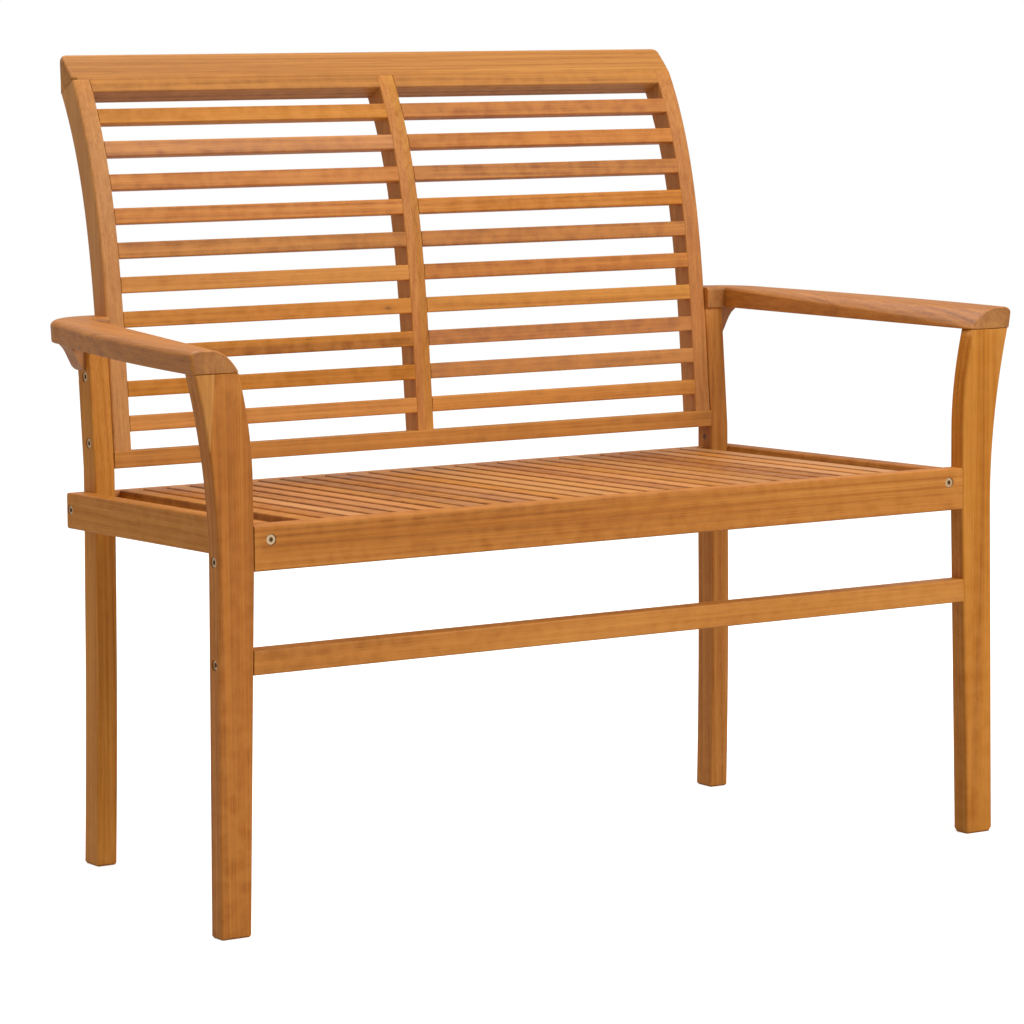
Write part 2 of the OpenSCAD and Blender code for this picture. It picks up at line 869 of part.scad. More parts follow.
// The section of the top rail: the lip, a broad face that leans back, and the crown
module crest_outline() {
    crown = [rear_y - crown_r, bench_h - crown_r];
    start = [face_y(lip_z), lip_z];
    lean = atan2(crown[1] - start[1], crown[0] - start[0]);
    touch = lean + 90 + asin(crown_r / norm(crown - start)) * 0.5;
    over = arc(crown[0], crown[1], crown_r, touch, -15, crown_steps);
    broad = [for (i = [1 : broad_steps - 1]) let (t = i / broad_steps)
        start + (over[0] - start) * t
        + 4 * crest_bulge * t * (1 - t) * [-sin(lean), cos(lean)]];
    polygon(concat(
        [[face_y(crest_z), crest_z], start],
        broad,
        over,
        [behind(lip_z, stile_depth(lip_z)), behind(crest_z, lip_t)]
    ));
}

// The space of a stile's end under the top rail
module stile_notch(x) {
    translate([x - stile_w / 2, face_y(lip_z), lip_z])
    rotate([-face_angle(lip_z), 0, 0])
    translate([0, -stile_d, -2 * crest_h])
    cube([stile_w, 3 * stile_d, 2 * crest_h]);
}

module top_rail() {
    color(TEAK_BACK)
    difference() {
        along_x(-rear_in_x, rear_in_x) crest_outline();
        for (x = [-outer_stile_x, 0, outer_stile_x]) {
            stile_notch(x);
            stile_tenon(x, play);
        }
    }
}

// Arms and brackets

arm_end_y = back_y + arm_back;
corner_y = arm_end_y - arm_corner_r;
return_y = face_y(arm_under(back_y)) - arm_return;

// Outer edge of an arm at a depth y, gently bowed
function arm_out_x(y) =
    let (t = (y - front_y) / (corner_y - front_y))
    bench_w / 2 - arm_in * t + 4 * arm_bow * t * (1 - t);

module arm_outline() {
    edge = [for (i = [0 : arm_steps]) let (y = front_y + (corner_y - front_y) * i / arm_steps)
        [arm_out_x(y), y]];
    polygon(concat(
        edge,
        arc(arm_out_x(corner_y) - arm_corner_r, corner_y, arm_corner_r, 0, 90, corner_steps),
        [[rear_in_x, arm_end_y], [rear_in_x, return_y], [apron_in_x, return_y]],
        [[bench_w / 2 - arm_w, front_y]]
    ));
}

// What the rolled inner edge takes away: the axis of the roll nears the edge towards the rear
module roll_cut() {
    run = [apron_in_x - (bench_w / 2 - arm_w), return_y - front_y];
    near = roll_r - (roll_r + (sqrt(2) - 1) * roll_rear) / sqrt(2);
    drift = atan(near / norm(run));
    translate([bench_w / 2 - arm_w, front_y, arm_z + arm_t])
    rotate([0, 0, atan2(-run[0], run[1])])
    rotate([atan(arm_slope), 0, 0])
    difference() {
        translate([-roll_r, -arm_w, -roll_r]) cube([2 * roll_r, norm(run) + arm_w, 2 * roll_r]);
        translate([roll_r, 0, -roll_r])
        rotate([drift, 0, drift])
        rotate([90, 0, 0])
        cylinder(r = roll_r, h = 3 * far, center = true);
    }
}

module arm(side) {
    color(TEAK_ARM)
    on_side(side)
    difference() {
        intersection() {
            linear_extrude(far) arm_outline();
            along_x(0, far)
            polygon([
                [front_y, arm_under(front_y)],
                [arm_end_y, arm_under(arm_end_y)],
                [arm_end_y, arm_under(arm_end_y) + arm_t],
                [front_y, arm_under(front_y) + arm_t]
            ]);
        }
        roll_cut();
        front_leg_tenon(play);
        rear_leg_tenon(play);
    }
}

// Middle of the thickness of a bracket, whose rear face is flush with the rear leg
function bracket_mid_y() = face_y(arm_under(back_y)) + leg_top_d - bracket_t / 2;

// A bracket from its tip under the arm, along its ogee, to its foot on the rear leg
module bracket(side) {
    front = bracket_mid_y() - bracket_t / 2;
    rear = bracket_mid_y() + bracket_t / 2;
    top = arm_under(rear);
    color(TEAK_ARM)
    on_side(side)
    difference() {
        intersection() {
            along_y(front, rear)
            polygon(concat(
                [[apron_in_x, top]],
                [for (p = ogee) [apron_in_x + p[0] * bracket_w, top - p[1] * bracket_h]]
            ));
            under_arm();
        }
        bracket_screw_place() screw_hole(bracket_screw_l);
    }
}

// The bench

for (side = SIDES) {
    front_leg(side);
    rear_leg(side);
    side_apron(side);
    arm(side);
    bracket(side);
}
front_apron();
front_stretcher();
rear_rail();
seat_ledger();
seat_batten();
for (i = [1 : slat_count])
    seat_slat(i);
back_stile(-outer_stile_x);  // back_stile_left
back_stile(0);  // back_stile_centre
back_stile(outer_stile_x);  // back_stile_right
back_bottom_rail();
top_rail();
for (i = [1 : back_levels])
    back_slats(i);
bolts();
barrel_nuts();
wood_screws();
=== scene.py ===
"""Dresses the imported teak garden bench: eased boards, rolled arms, oiled teak and steel bolts.

It is laid out like an add-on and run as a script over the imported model. Every size is in metres,
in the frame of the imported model: X runs along the bench, the front is towards -Y and Z is up.
"""

import math
import random

import bmesh
import bpy
from mathutils import Matrix, Vector


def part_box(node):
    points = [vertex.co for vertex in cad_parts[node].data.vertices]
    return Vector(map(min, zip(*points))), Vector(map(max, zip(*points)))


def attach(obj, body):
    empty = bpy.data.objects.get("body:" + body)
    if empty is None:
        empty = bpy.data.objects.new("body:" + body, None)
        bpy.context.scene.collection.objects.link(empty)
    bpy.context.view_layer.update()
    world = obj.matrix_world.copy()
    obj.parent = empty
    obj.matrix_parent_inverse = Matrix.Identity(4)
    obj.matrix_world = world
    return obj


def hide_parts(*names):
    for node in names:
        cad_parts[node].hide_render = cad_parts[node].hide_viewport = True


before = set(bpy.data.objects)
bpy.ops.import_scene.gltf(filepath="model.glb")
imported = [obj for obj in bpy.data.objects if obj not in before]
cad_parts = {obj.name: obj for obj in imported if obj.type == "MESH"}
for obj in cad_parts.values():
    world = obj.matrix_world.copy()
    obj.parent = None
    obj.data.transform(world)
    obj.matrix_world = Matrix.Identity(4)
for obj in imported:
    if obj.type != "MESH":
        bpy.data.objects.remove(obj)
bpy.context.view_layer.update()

bl_info = {
    "name": "Teak Garden Bench",
    "version": (1, 0, 0),
    "blender": (4, 5, 0),
    "location": "3D View > Sidebar > Bench",
    "description": "Builds and finishes the boards, arms and fittings of a teak garden bench",
    "category": "Object",
}

MM = 0.001
SIDES = {"left": -1, "right": 1}
SLATS = 27
LEVELS = 10

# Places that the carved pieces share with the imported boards
ARM_LO, ARM_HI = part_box("arm_right")
STILE_LO, STILE_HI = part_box("back_stile_right")
CREST_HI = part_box("top_rail")[1]

# Eased edges that aren't among the settings
REAR_LEG_EASE = 2.2 * MM
BRACKET_EASE = 1.2 * MM

# The least area, in square millimetres, of a face whose edges are eased. It keeps the cutter out
# of tenons, mortises and bolt holes.
TINY, SMALL, FAIR, LARGE = 50.0, 200.0, 300.0, 900.0

# The glue line across a flared leg top: where it meets the arm, and how it leans outward below
GLUE_TOP_X, GLUE_TOP_Z = 531.4 * MM, 608 * MM
GLUE_LEAN = math.radians(4.2)


# ---------------------------------------------------------------------------------------------
# Settings

class BenchSizes(bpy.types.PropertyGroup):
    """How the edges of the boards are eased and the arms are rolled"""

    leg_ease: bpy.props.FloatProperty(
        name="Leg edges", description="Radius of the eased edges of the legs",
        default=3.0 * MM, min=0.5 * MM, max=5 * MM, unit="LENGTH")
    rail_ease: bpy.props.FloatProperty(
        name="Rail edges", description="Radius of the eased edges of the aprons and rails",
        default=2.5 * MM, min=0.5 * MM, max=5 * MM, unit="LENGTH")
    slat_ease: bpy.props.FloatProperty(
        name="Slat edges", description="Radius of the eased edges of the seat slats",
        default=2.0 * MM, min=0.5 * MM, max=4 * MM, unit="LENGTH")
    back_ease: bpy.props.FloatProperty(
        name="Back edges", description="Radius of the eased edges of the back slats and stiles",
        default=1.6 * MM, min=0.5 * MM, max=4 * MM, unit="LENGTH")
    roll_front: bpy.props.FloatProperty(
        name="Roll at the front", description="Width of the rolled inner edge at its front end",
        default=39 * MM, min=4 * MM, max=46 * MM, unit="LENGTH")
    roll_rear: bpy.props.FloatProperty(
        name="Roll at the rear", description="Width of the rolled inner edge where it fades out",
        default=3.5 * MM, min=1 * MM, max=20 * MM, unit="LENGTH")
    crest_round: bpy.props.FloatProperty(
        name="Crest ends", description="Radius of the edges round the ends of the top rail",
        default=4 * MM, min=1 * MM, max=5.8 * MM, unit="LENGTH")
    crest_corner: bpy.props.FloatProperty(
        name="Crest corners", description="Radius of the upper corners of the top rail",
        default=8.5 * MM, min=6 * MM, max=16 * MM, unit="LENGTH")
    stile_round: bpy.props.FloatProperty(
        name="Outer stile edges", description="Radius of the outermost front edges of the back",
        default=3.2 * MM, min=1 * MM, max=6 * MM, unit="LENGTH")
    arm_corner: bpy.props.FloatProperty(
        name="Arm corners", description="Radius of the upright corners at the front end of an arm",
        default=4.5 * MM, min=0.5 * MM, max=8 * MM, unit="LENGTH")
    outer_round: bpy.props.FloatProperty(
        name="Outer edge", description="Width of the rounding along an arm's outer top edge",
        default=10 * MM, min=2 * MM, max=16 * MM, unit="LENGTH")


class BenchColours(bpy.types.PropertyGroup):
    """The colours of the wood and the fittings"""

    light: bpy.props.FloatVectorProperty(
        name="Light wood", description="Colour of the palest grain", subtype="COLOR", size=3,
        default=(0.620, 0.255, 0.050), min=0, max=1)
    middle: bpy.props.FloatVectorProperty(
        name="Middle wood", description="Colour of most of the grain", subtype="COLOR", size=3,
        default=(0.460, 0.155, 0.020), min=0, max=1)
    dark: bpy.props.FloatVectorProperty(
        name="Dark wood", description="Colour of the darkest grain", subtype="COLOR", size=3,
        default=(0.235, 0.062, 0.008), min=0, max=1)
    steel: bpy.props.FloatVectorProperty(
        name="Steel", description="Colour of the bolts", subtype="COLOR", size=3,
        default=(0.64, 0.46, 0.28), min=0, max=1)
    rust: bpy.props.FloatVectorProperty(
        name="Rusted steel", description="Colour of the wood screws", subtype="COLOR", size=3,
        default=(0.17, 0.085, 0.045), min=0, max=1)


# ---------------------------------------------------------------------------------------------
# Shader node helpers

def put(tree, kind, ins=None, **facts):
    """Adds a node, sets its facts and fills or links its inputs."""
    node = tree.nodes.new(kind)
    for key, value in facts.items():
        setattr(node, key, value)
    for key, value in (ins or {}).items():
        if isinstance(value, bpy.types.NodeSocket):
            tree.links.new(value, node.inputs[key])
        else:
            node.inputs[key].default_value = value
    return node


def calc(tree, operation, *values, clamp=False):
    """The result of one sum on numbers."""
    node = put(tree, "ShaderNodeMath", dict(enumerate(values)), operation=operation)
    node.use_clamp = clamp
    return node.outputs[0]


def vcalc(tree, operation, a, b=None):
    """The result of one sum on vectors."""
    ins = {0: a} if b is None else {0: a, 1: b}
    node = put(tree, "ShaderNodeVectorMath", ins, operation=operation)
    return node.outputs["Value" if operation in ("LENGTH", "DOT_PRODUCT") else "Vector"]


def scaled(tree, colour, factor):
    """A colour made lighter or darker by a factor."""
    node = put(tree, "ShaderNodeVectorMath", {0: colour, "Scale": factor}, operation="SCALE")
    return node.outputs["Vector"]


def blend(tree, share, a, b):
    """Two colours mixed by a share."""
    node = put(tree, "ShaderNodeMix", {0: share, 6: a, 7: b}, data_type="RGBA")
    return node.outputs[2]


def span(tree, value, low, high, to_low=0.0, to_high=1.0):
    """A value brought from one range into another, and kept inside it."""
    node = put(tree, "ShaderNodeMapRange", {0: value, 1: low, 2: high, 3: to_low, 4: to_high})
    return node.outputs[0]


def noise(tree, place, detail=2.0, roughness=0.5):
    """A smooth random value over a place that is already scaled."""
    node = put(tree, "ShaderNodeTexNoise",
               {"Vector": place, "Scale": 1.0, "Detail": detail, "Roughness": roughness})
    return node.outputs[0]


def new_group(name, ins, outs):
    """An empty shader node group with named inputs and outputs."""
    tree = bpy.data.node_groups.new(name, "ShaderNodeTree")
    for label, kind, default in ins:
        socket = tree.interface.new_socket(label, in_out="INPUT", socket_type=kind)
        if default is not None:
            socket.default_value = default
    for label, kind in outs:
        tree.interface.new_socket(label, in_out="OUTPUT", socket_type=kind)
    return tree, tree.nodes.new("NodeGroupInput").outputs, tree.nodes.new("NodeGroupOutput").inputs


# ---------------------------------------------------------------------------------------------
# Effects that several finishes share

# How closely each part of the grain is set, across the board and along it, per metre
WANDER, STREAKS, DRIFT = (6.0, 0.8), (230.0, 1.6), (22.0, 1.3)
FIBRES, PORES, KNOTS = (1000.0, 9.0), (1300.0, 34.0), (15.0, 7.0)
SPECKS = (1500.0, 60.0)
RINGS, END_RINGS = 210.0, 520.0
# How far the rings wander from true circles, in metres
RING_BEND = 0.028
# How much the streaks and the broad drift change the tone
STREAK_SHARE, DRIFT_SHARE = 0.95, 0.55
# The ends of the ranges of hue and saturation among the boards
RED_HUE, YELLOW_HUE = 0.495, 0.506
DULL_SATURATION, FULL_SATURATION = 0.90, 1.05
# How light and dark the fibres draw their lines, where pores start and how much they darken
LINE_LIGHT, LINE_DARK = 1.09, 0.88
PORE_FROM, PORE_FULL, PORE_SHADE = 0.60, 0.72, 0.22
# Pin knots: how many of the places hold one, the sizes of eye and halo, and their darkness
KNOT_CHANCE = 0.4
EYE_IN, EYE_OUT = 0.022, 0.045
HALO_IN, HALO_OUT, HALO_SHARE = 0.04, 0.10, 0.22
KNOT_EYE = (0.06, 0.022, 0.008, 1.0)
# Roughness between the fibres, on them and in the pores, and the relief of pores and rings
FINE_ROUGH, COARSE_ROUGH, PORE_ROUGH = 0.44, 0.58, 0.12
PORE_DEPTH, RING_HEIGHT = 0.8, 0.35
# How squarely a face has to cut the grain to show its end, and how dark an end is
END_FROM, END_FULL, END_SHADE = 0.80, 0.97, 0.45
# How sharp an edge has to be for the painted edge highlight on wood and the wear on steel
SHARP_EDGE_FROM, SHARP_EDGE_FULL = 0.505, 0.56


def grain_group():
    """Teak figure: growth rings cut along the board, streaks, fibres, pores and pin knots."""
    tree, ins, outs = new_group("Teak Grain", [
        ("Grain Place", "NodeSocketVector", None),
        ("Board", "NodeSocketVector", None),
        ("Light Wood", "NodeSocketColor", (0.62, 0.25, 0.05, 1)),
        ("Middle Wood", "NodeSocketColor", (0.46, 0.16, 0.02, 1)),
        ("Dark Wood", "NodeSocketColor", (0.24, 0.06, 0.01, 1)),
        ("Figure", "NodeSocketFloat", 0.5),
        ("Board Spread", "NodeSocketFloat", 0.4),
        ("Pin Knots", "NodeSocketFloat", 1.0),
    ], [
        ("Color", "NodeSocketColor"),
        ("Roughness", "NodeSocketFloat"),
        ("Height", "NodeSocketFloat"),
    ])
    place = ins["Grain Place"]

    def stretched(scales):
        across, along = scales
        return vcalc(tree, "MULTIPLY", place, (across, across, along))

    wander = put(tree, "ShaderNodeTexNoise",
                 {"Vector": stretched(WANDER), "Scale": 1.0, "Detail": 1.0}).outputs[1]
    wander = vcalc(tree, "SUBTRACT", wander, (0.5, 0.5, 0.5))
    wander = vcalc(tree, "MULTIPLY", wander, (RING_BEND, RING_BEND, 0.0))
    bent = vcalc(tree, "MULTIPLY", vcalc(tree, "ADD", place, wander), (1.0, 1.0, 0.0))
    ring_run = calc(tree, "MULTIPLY", vcalc(tree, "LENGTH", bent), RINGS)
    rings = put(tree, "ShaderNodeTexNoise",
                {"W": ring_run, "Scale": 1.0, "Detail": 2.5, "Roughness": 0.6},
                noise_dimensions="1D").outputs[0]
    streaks = noise(tree, stretched(STREAKS), 3.0, 0.6)
    drift = noise(tree, stretched(DRIFT), 1.5)
    fibres = noise(tree, stretched(FIBRES), 3.0, 0.65)
    pores = span(tree, noise(tree, stretched(PORES), 1.0), PORE_FROM, PORE_FULL)

    board = put(tree, "ShaderNodeSeparateXYZ", {0: ins["Board"]}).outputs
    tone = calc(tree, "MULTIPLY", calc(tree, "SUBTRACT", rings, 0.5), ins["Figure"])
    for part, weight in ((streaks, STREAK_SHARE), (drift, DRIFT_SHARE),
                         (board[0], ins["Board Spread"])):
        tone = calc(tree, "MULTIPLY_ADD", calc(tree, "SUBTRACT", part, 0.5), weight, tone)
    tone = calc(tree, "ADD", tone, 0.5, clamp=True)
    pale = blend(tree, span(tree, tone, 0.0, 0.5), ins["Light Wood"], ins["Middle Wood"])
    colour = blend(tree, span(tree, tone, 0.5, 1.0), pale, ins["Dark Wood"])

    # Some boards lean to red and some to yellow
    warm = put(tree, "ShaderNodeHueSaturation", {
        "Hue": span(tree, board[1], 0.0, 1.0, RED_HUE, YELLOW_HUE),
        "Saturation": span(tree, board[2], 0.0, 1.0, DULL_SATURATION, FULL_SATURATION),
        "Value": 1.0, "Fac": 1.0, "Color": colour}).outputs[0]
    lines = span(tree, fibres, 0.3, 0.7, LINE_LIGHT, LINE_DARK)
    shade = calc(tree, "MULTIPLY", lines, calc(tree, "MULTIPLY_ADD", pores, -PORE_SHADE, 1.0))
    colour = scaled(tree, warm, shade)

    # Pin knots: a small dark eye with a darker halo drawn out along the grain
    cells = put(tree, "ShaderNodeTexVoronoi", {"Vector": stretched(KNOTS), "Scale": 1.0})
    eye = span(tree, cells.outputs["Distance"], EYE_IN, EYE_OUT, 1.0, 0.0)
    halo = span(tree, cells.outputs["Distance"], HALO_IN, HALO_OUT, HALO_SHARE, 0.0)
    chance = put(tree, "ShaderNodeSeparateXYZ", {0: cells.outputs["Color"]}).outputs[0]
    rare = calc(tree, "GREATER_THAN", chance, 1.0 - KNOT_CHANCE)
    knot = calc(tree, "MULTIPLY", calc(tree, "MAXIMUM", eye, halo), ins["Pin Knots"])
    knot = calc(tree, "MULTIPLY", knot, rare, clamp=True)
    colour = blend(tree, knot, colour, blend(tree, 0.5, ins["Dark Wood"], KNOT_EYE))

    rough = span(tree, fibres, 0.2, 0.8, FINE_ROUGH, COARSE_ROUGH)
    rough = calc(tree, "MULTIPLY_ADD", pores, PORE_ROUGH, rough)
    height = calc(tree, "MULTIPLY_ADD", pores, -PORE_DEPTH, fibres)
    height = calc(tree, "MULTIPLY_ADD", rings, RING_HEIGHT, height)
    tree.links.new(colour, outs["Color"])
    tree.links.new(rough, outs["Roughness"])
    tree.links.new(height, outs["Height"])
    return tree


def end_grain_group():
    """Where a board is cut across, the wood drinks more oil and shows its rings as arcs."""
    tree, ins, outs = new_group("End Grain", [
        ("Grain Place", "NodeSocketVector", None),
        ("Along", "NodeSocketVector", None),
        ("Color", "NodeSocketColor", (0.5, 0.25, 0.1, 1)),
        ("Darkening", "NodeSocketFloat", 0.3),
    ], [("Color", "NodeSocketColor")])
    normal = put(tree, "ShaderNodeNewGeometry").outputs["True Normal"]
    facing = calc(tree, "ABSOLUTE", vcalc(tree, "DOT_PRODUCT", normal, ins["Along"]))
    across = span(tree, facing, END_FROM, END_FULL)
    flat = vcalc(tree, "MULTIPLY", ins["Grain Place"], (1.0, 1.0, 0.0))
    run = calc(tree, "MULTIPLY", vcalc(tree, "LENGTH", flat), END_RINGS)
    arcs = put(tree, "ShaderNodeTexNoise", {"W": run, "Scale": 1.0, "Detail": 2.0},
               noise_dimensions="1D").outputs[0]
    fine = vcalc(tree, "MULTIPLY", ins["Grain Place"], (SPECKS[0], SPECKS[0], SPECKS[1]))
    specks = noise(tree, fine, 1.0)
    mottle = calc(tree, "MULTIPLY", span(tree, arcs, 0.3, 0.7, 0.7, 1.1),
                  span(tree, specks, 0.3, 0.7, 0.9, 1.05))
    share = calc(tree, "MULTIPLY", across, ins["Darkening"])
    dark = scaled(tree, ins["Color"], calc(tree, "MULTIPLY", mottle, END_SHADE))
    tree.links.new(blend(tree, share, ins["Color"], dark), outs["Color"])
    return tree


def rubbed_edge_group():
    """A broken mask of the sharp edges: on the wood a painted highlight with some real rubbing, on
    the steel wear.
    """
    tree, ins, outs = new_group("Edge Highlights And Wear", [
        ("Place", "NodeSocketVector", None),
        ("Break Up", "NodeSocketFloat", 60.0),
        ("Amount", "NodeSocketFloat", 1.0),
    ], [("Mask", "NodeSocketFloat")])
    pointed = put(tree, "ShaderNodeNewGeometry").outputs["Pointiness"]
    sharp = span(tree, pointed, SHARP_EDGE_FROM, SHARP_EDGE_FULL)
    broken = put(tree, "ShaderNodeTexNoise",
                 {"Vector": ins["Place"], "Scale": ins["Break Up"], "Detail": 3.0}).outputs[0]
    mask = calc(tree, "MULTIPLY", sharp, span(tree, broken, 0.35, 0.6, 0.3, 1.0))
    tree.links.new(calc(tree, "MULTIPLY", mask, ins["Amount"], clamp=True), outs["Mask"])
    return tree


def effects():
    """The three shared effects, each built once."""
    made = bpy.data.node_groups
    return {
        "grain": made.get("Teak Grain") or grain_group(),
        "end": made.get("End Grain") or end_grain_group(),
        "edge": made.get("Edge Highlights And Wear") or rubbed_edge_group(),
    }


# How strong the figure, the spread of tones among boards and the pin knots are in each wood, how
# bright it is, how much its end grain darkens and how much its oil shines
WOODS = {
    "teak_legs": (0.75, 0.55, 0.9, 1.0, 0.45, 0.22),
    "teak_rails": (0.75, 0.5, 1.0, 1.0, 0.45, 0.22),
    "teak_seat_slats": (0.7, 0.75, 0.8, 1.0, 0.45, 0.3),
    "teak_back_boards": (0.6, 0.35, 0.9, 1.05, 0.45, 0.22),
    "teak_back_slats": (0.95, 0.55, 0.9, 1.12, 0.45, 0.22),
    "teak_crest": (0.9, 0.3, 0.6, 1.0, 0.1, 0.22),
    "teak_arms": (0.6, 0.35, 0.6, 1.0, 0.45, 0.6),
}
# Painted edge highlight, partly real rubbing: how broken, how strong, how much lighter and smoother
WOOD_BREAK_UP, WOOD_EDGE_HIGHLIGHT, WOOD_HIGHLIGHT_TONE, EDGE_SMOOTHING = 55.0, 0.35, 1.15, 0.12
GRAIN_BUMP, GRAIN_DEPTH = 0.35, 0.25 * MM


def four(colour):
    """A colour with a full fourth channel."""
    return (colour[0], colour[1], colour[2], 1.0)


def new_finish(name):
    """A material with an empty shader tree."""
    material = bpy.data.materials.new(name)
    material.use_nodes = True
    material.node_tree.nodes.clear()
    return material, material.node_tree


def teak(name):
    """Oiled teak. The boards' own attributes say where each point lies in its log."""
    figure, spread, knots, bright, ends, sheen = WOODS[name]
    colours = bpy.context.scene.bench_colours
    shared = effects()
    material, tree = new_finish(name)

    def attribute(label):
        return put(tree, "ShaderNodeAttribute", attribute_name=label).outputs["Vector"]

    place = attribute("grain_place")
    grain = put(tree, "ShaderNodeGroup", node_tree=shared["grain"])
    for key, value in {
        "Light Wood": four(Vector(colours.light) * bright),
        "Middle Wood": four(Vector(colours.middle) * bright),
        "Dark Wood": four(Vector(colours.dark) * bright),
        "Figure": figure, "Board Spread": spread, "Pin Knots": knots,
    }.items():
        grain.inputs[key].default_value = value
    tree.links.new(place, grain.inputs["Grain Place"])
    tree.links.new(attribute("board_tone"), grain.inputs["Board"])
    end = put(tree, "ShaderNodeGroup", {
        "Grain Place": place, "Along": attribute("grain_along"),
        "Color": grain.outputs["Color"], "Darkening": ends}, node_tree=shared["end"])
    edge = put(tree, "ShaderNodeGroup", {
        "Place": put(tree, "ShaderNodeTexCoord").outputs["Object"],
        "Break Up": WOOD_BREAK_UP, "Amount": WOOD_EDGE_HIGHLIGHT}, node_tree=shared["edge"])
    # Painted highlight along the sharp edges, with some real rubbing: they blend towards the palest
    # wood
    edge_lit = blend(tree, edge.outputs["Mask"], end.outputs["Color"],
                   four(Vector(colours.light) * WOOD_HIGHLIGHT_TONE * bright))
    rough = calc(tree, "MULTIPLY_ADD", edge.outputs["Mask"], -EDGE_SMOOTHING,
                 grain.outputs["Roughness"])
    bump = put(tree, "ShaderNodeBump", {
        "Strength": GRAIN_BUMP, "Distance": GRAIN_DEPTH, "Height": grain.outputs["Height"]})
    shader = put(tree, "ShaderNodeBsdfPrincipled", {
        "Base Color": edge_lit, "Roughness": rough, "Normal": bump.outputs[0],
        "IOR": 1.5, "Specular IOR Level": sheen})
    put(tree, "ShaderNodeOutputMaterial", {"Surface": shader.outputs[0]})
    return material


# Steel: the scales of its patches and scratches, how deep and rough the scratches are, how rough
# it is when clean, weathered and rusted, and how its dull places and worn edges change its colour
STEEL_PATCHES, STEEL_SCRATCHES = (260.0, 260.0, 260.0), (2600.0, 900.0, 2600.0)
SCRATCH_BUMP, SCRATCH_DEPTH, SCRATCH_ROUGH = 0.2, 0.05 * MM, 0.18
CLEAN_ROUGH, WEATHERED_ROUGH, RUSTED_ROUGH = 0.28, 0.45, 0.7
STEEL_BREAK_UP, STEEL_RUB = 400.0, 0.8
STEEL_DULL, STEEL_RUBBED = 0.62, 1.35


def steel(name, tint, dull_rough):
    """Steel scratched by the key and dulled in patches by the weather."""
    shared = effects()
    material, tree = new_finish(name)
    place = put(tree, "ShaderNodeTexCoord").outputs["Object"]
    patches = noise(tree, vcalc(tree, "MULTIPLY", place, STEEL_PATCHES), 3.0)
    scratches = noise(tree, vcalc(tree, "MULTIPLY", place, STEEL_SCRATCHES), 2.0)
    edge = put(tree, "ShaderNodeGroup", {
        "Place": place, "Break Up": STEEL_BREAK_UP, "Amount": STEEL_RUB}, node_tree=shared["edge"])
    dull = span(tree, patches, 0.35, 0.7)
    colour = blend(tree, dull, four(tint), four(Vector(tint) * STEEL_DULL))
    colour = blend(tree, edge.outputs["Mask"], colour, four(Vector(tint) * STEEL_RUBBED))
    rough = span(tree, dull, 0.0, 1.0, CLEAN_ROUGH, dull_rough)
    rough = calc(tree, "MULTIPLY_ADD", scratches, SCRATCH_ROUGH, rough)
    bump = put(tree, "ShaderNodeBump", {
        "Strength": SCRATCH_BUMP, "Distance": SCRATCH_DEPTH, "Height": scratches})
    shader = put(tree, "ShaderNodeBsdfPrincipled", {
        "Base Color": colour, "Metallic": 1.0, "Roughness": rough, "Normal": bump.outputs[0]})
    put(tree, "ShaderNodeOutputMaterial", {"Surface": shader.outputs[0]})
    return material


# ---------------------------------------------------------------------------------------------
# Boards

# For each way that a board can run: across it, through its thickness, and along it
AXES = {
    "X": (Vector((0, 1, 0)), Vector((0, 0, 1)), Vector((1, 0, 0))),
    "Y": (Vector((1, 0, 0)), Vector((0, 0, 1)), Vector((0, 1, 0))),
    "Z": (Vector((1, 0, 0)), Vector((0, 1, 0)), Vector((0, 0, 1))),
}

# When corners and faces count as one, and how near a corner lies to a cut to be on it
SAME_SPOT, SAME_PLANE = 5e-6, math.radians(0.35)
ON_CUT = 1e-6
# An edge is eased if it is long enough, folds sharply enough and runs along the board
SHORTEST_EDGE, LEAST_FOLD, ALONG_SHARE = 2.6 * MM, math.radians(38), 0.5
EASE_STEPS = 3
# Shading: up to which fold it runs on, and how much the large faces weigh in it
SMOOTH_UP_TO, SHADING_WEIGHT = math.radians(40), 80


def form_of(node):
    """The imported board's form with its flat faces made whole again."""
    form = bmesh.new()
    form.from_mesh(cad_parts[node].data)
    bmesh.ops.remove_doubles(form, verts=form.verts, dist=SAME_SPOT)
    bmesh.ops.dissolve_limit(form, angle_limit=SAME_PLANE, use_dissolve_boundaries=False,
                             verts=form.verts, edges=form.edges)
    bmesh.ops.recalc_face_normals(form, faces=form.faces)
    return form


def cut(form, point, normal):
    """Draws a line of edges round a form where a plane meets it, and takes nothing away."""
    bmesh.ops.bisect_plane(form, geom=form.verts[:] + form.edges[:] + form.faces[:],
                           plane_co=point, plane_no=normal, dist=ON_CUT)


def ease(form, along, radius, least_area=SMALL, keep=None):
    """Rounds the long outer edges of a board and leaves its joints sharp."""
    way = AXES[along][2]
    edges = []
    for edge in form.edges:
        if len(edge.link_faces) != 2 or not edge.is_convex or edge.calc_length() < SHORTEST_EDGE:
            continue
        if edge.calc_face_angle() < LEAST_FOLD:
            continue
        run = (edge.verts[1].co - edge.verts[0].co).normalized()
        if abs(run.dot(way)) < ALONG_SHARE:
            continue
        if min(face.calc_area() for face in edge.link_faces) < least_area * MM * MM:
            continue
        if keep and not keep((edge.verts[0].co + edge.verts[1].co) / 2):
            continue
        edges.append(edge)
    bmesh.ops.bevel(form, geom=edges, offset=radius, offset_type="OFFSET", segments=EASE_STEPS,
                    profile=0.5, affect="EDGES", clamp_overlap=False, loop_slide=True)


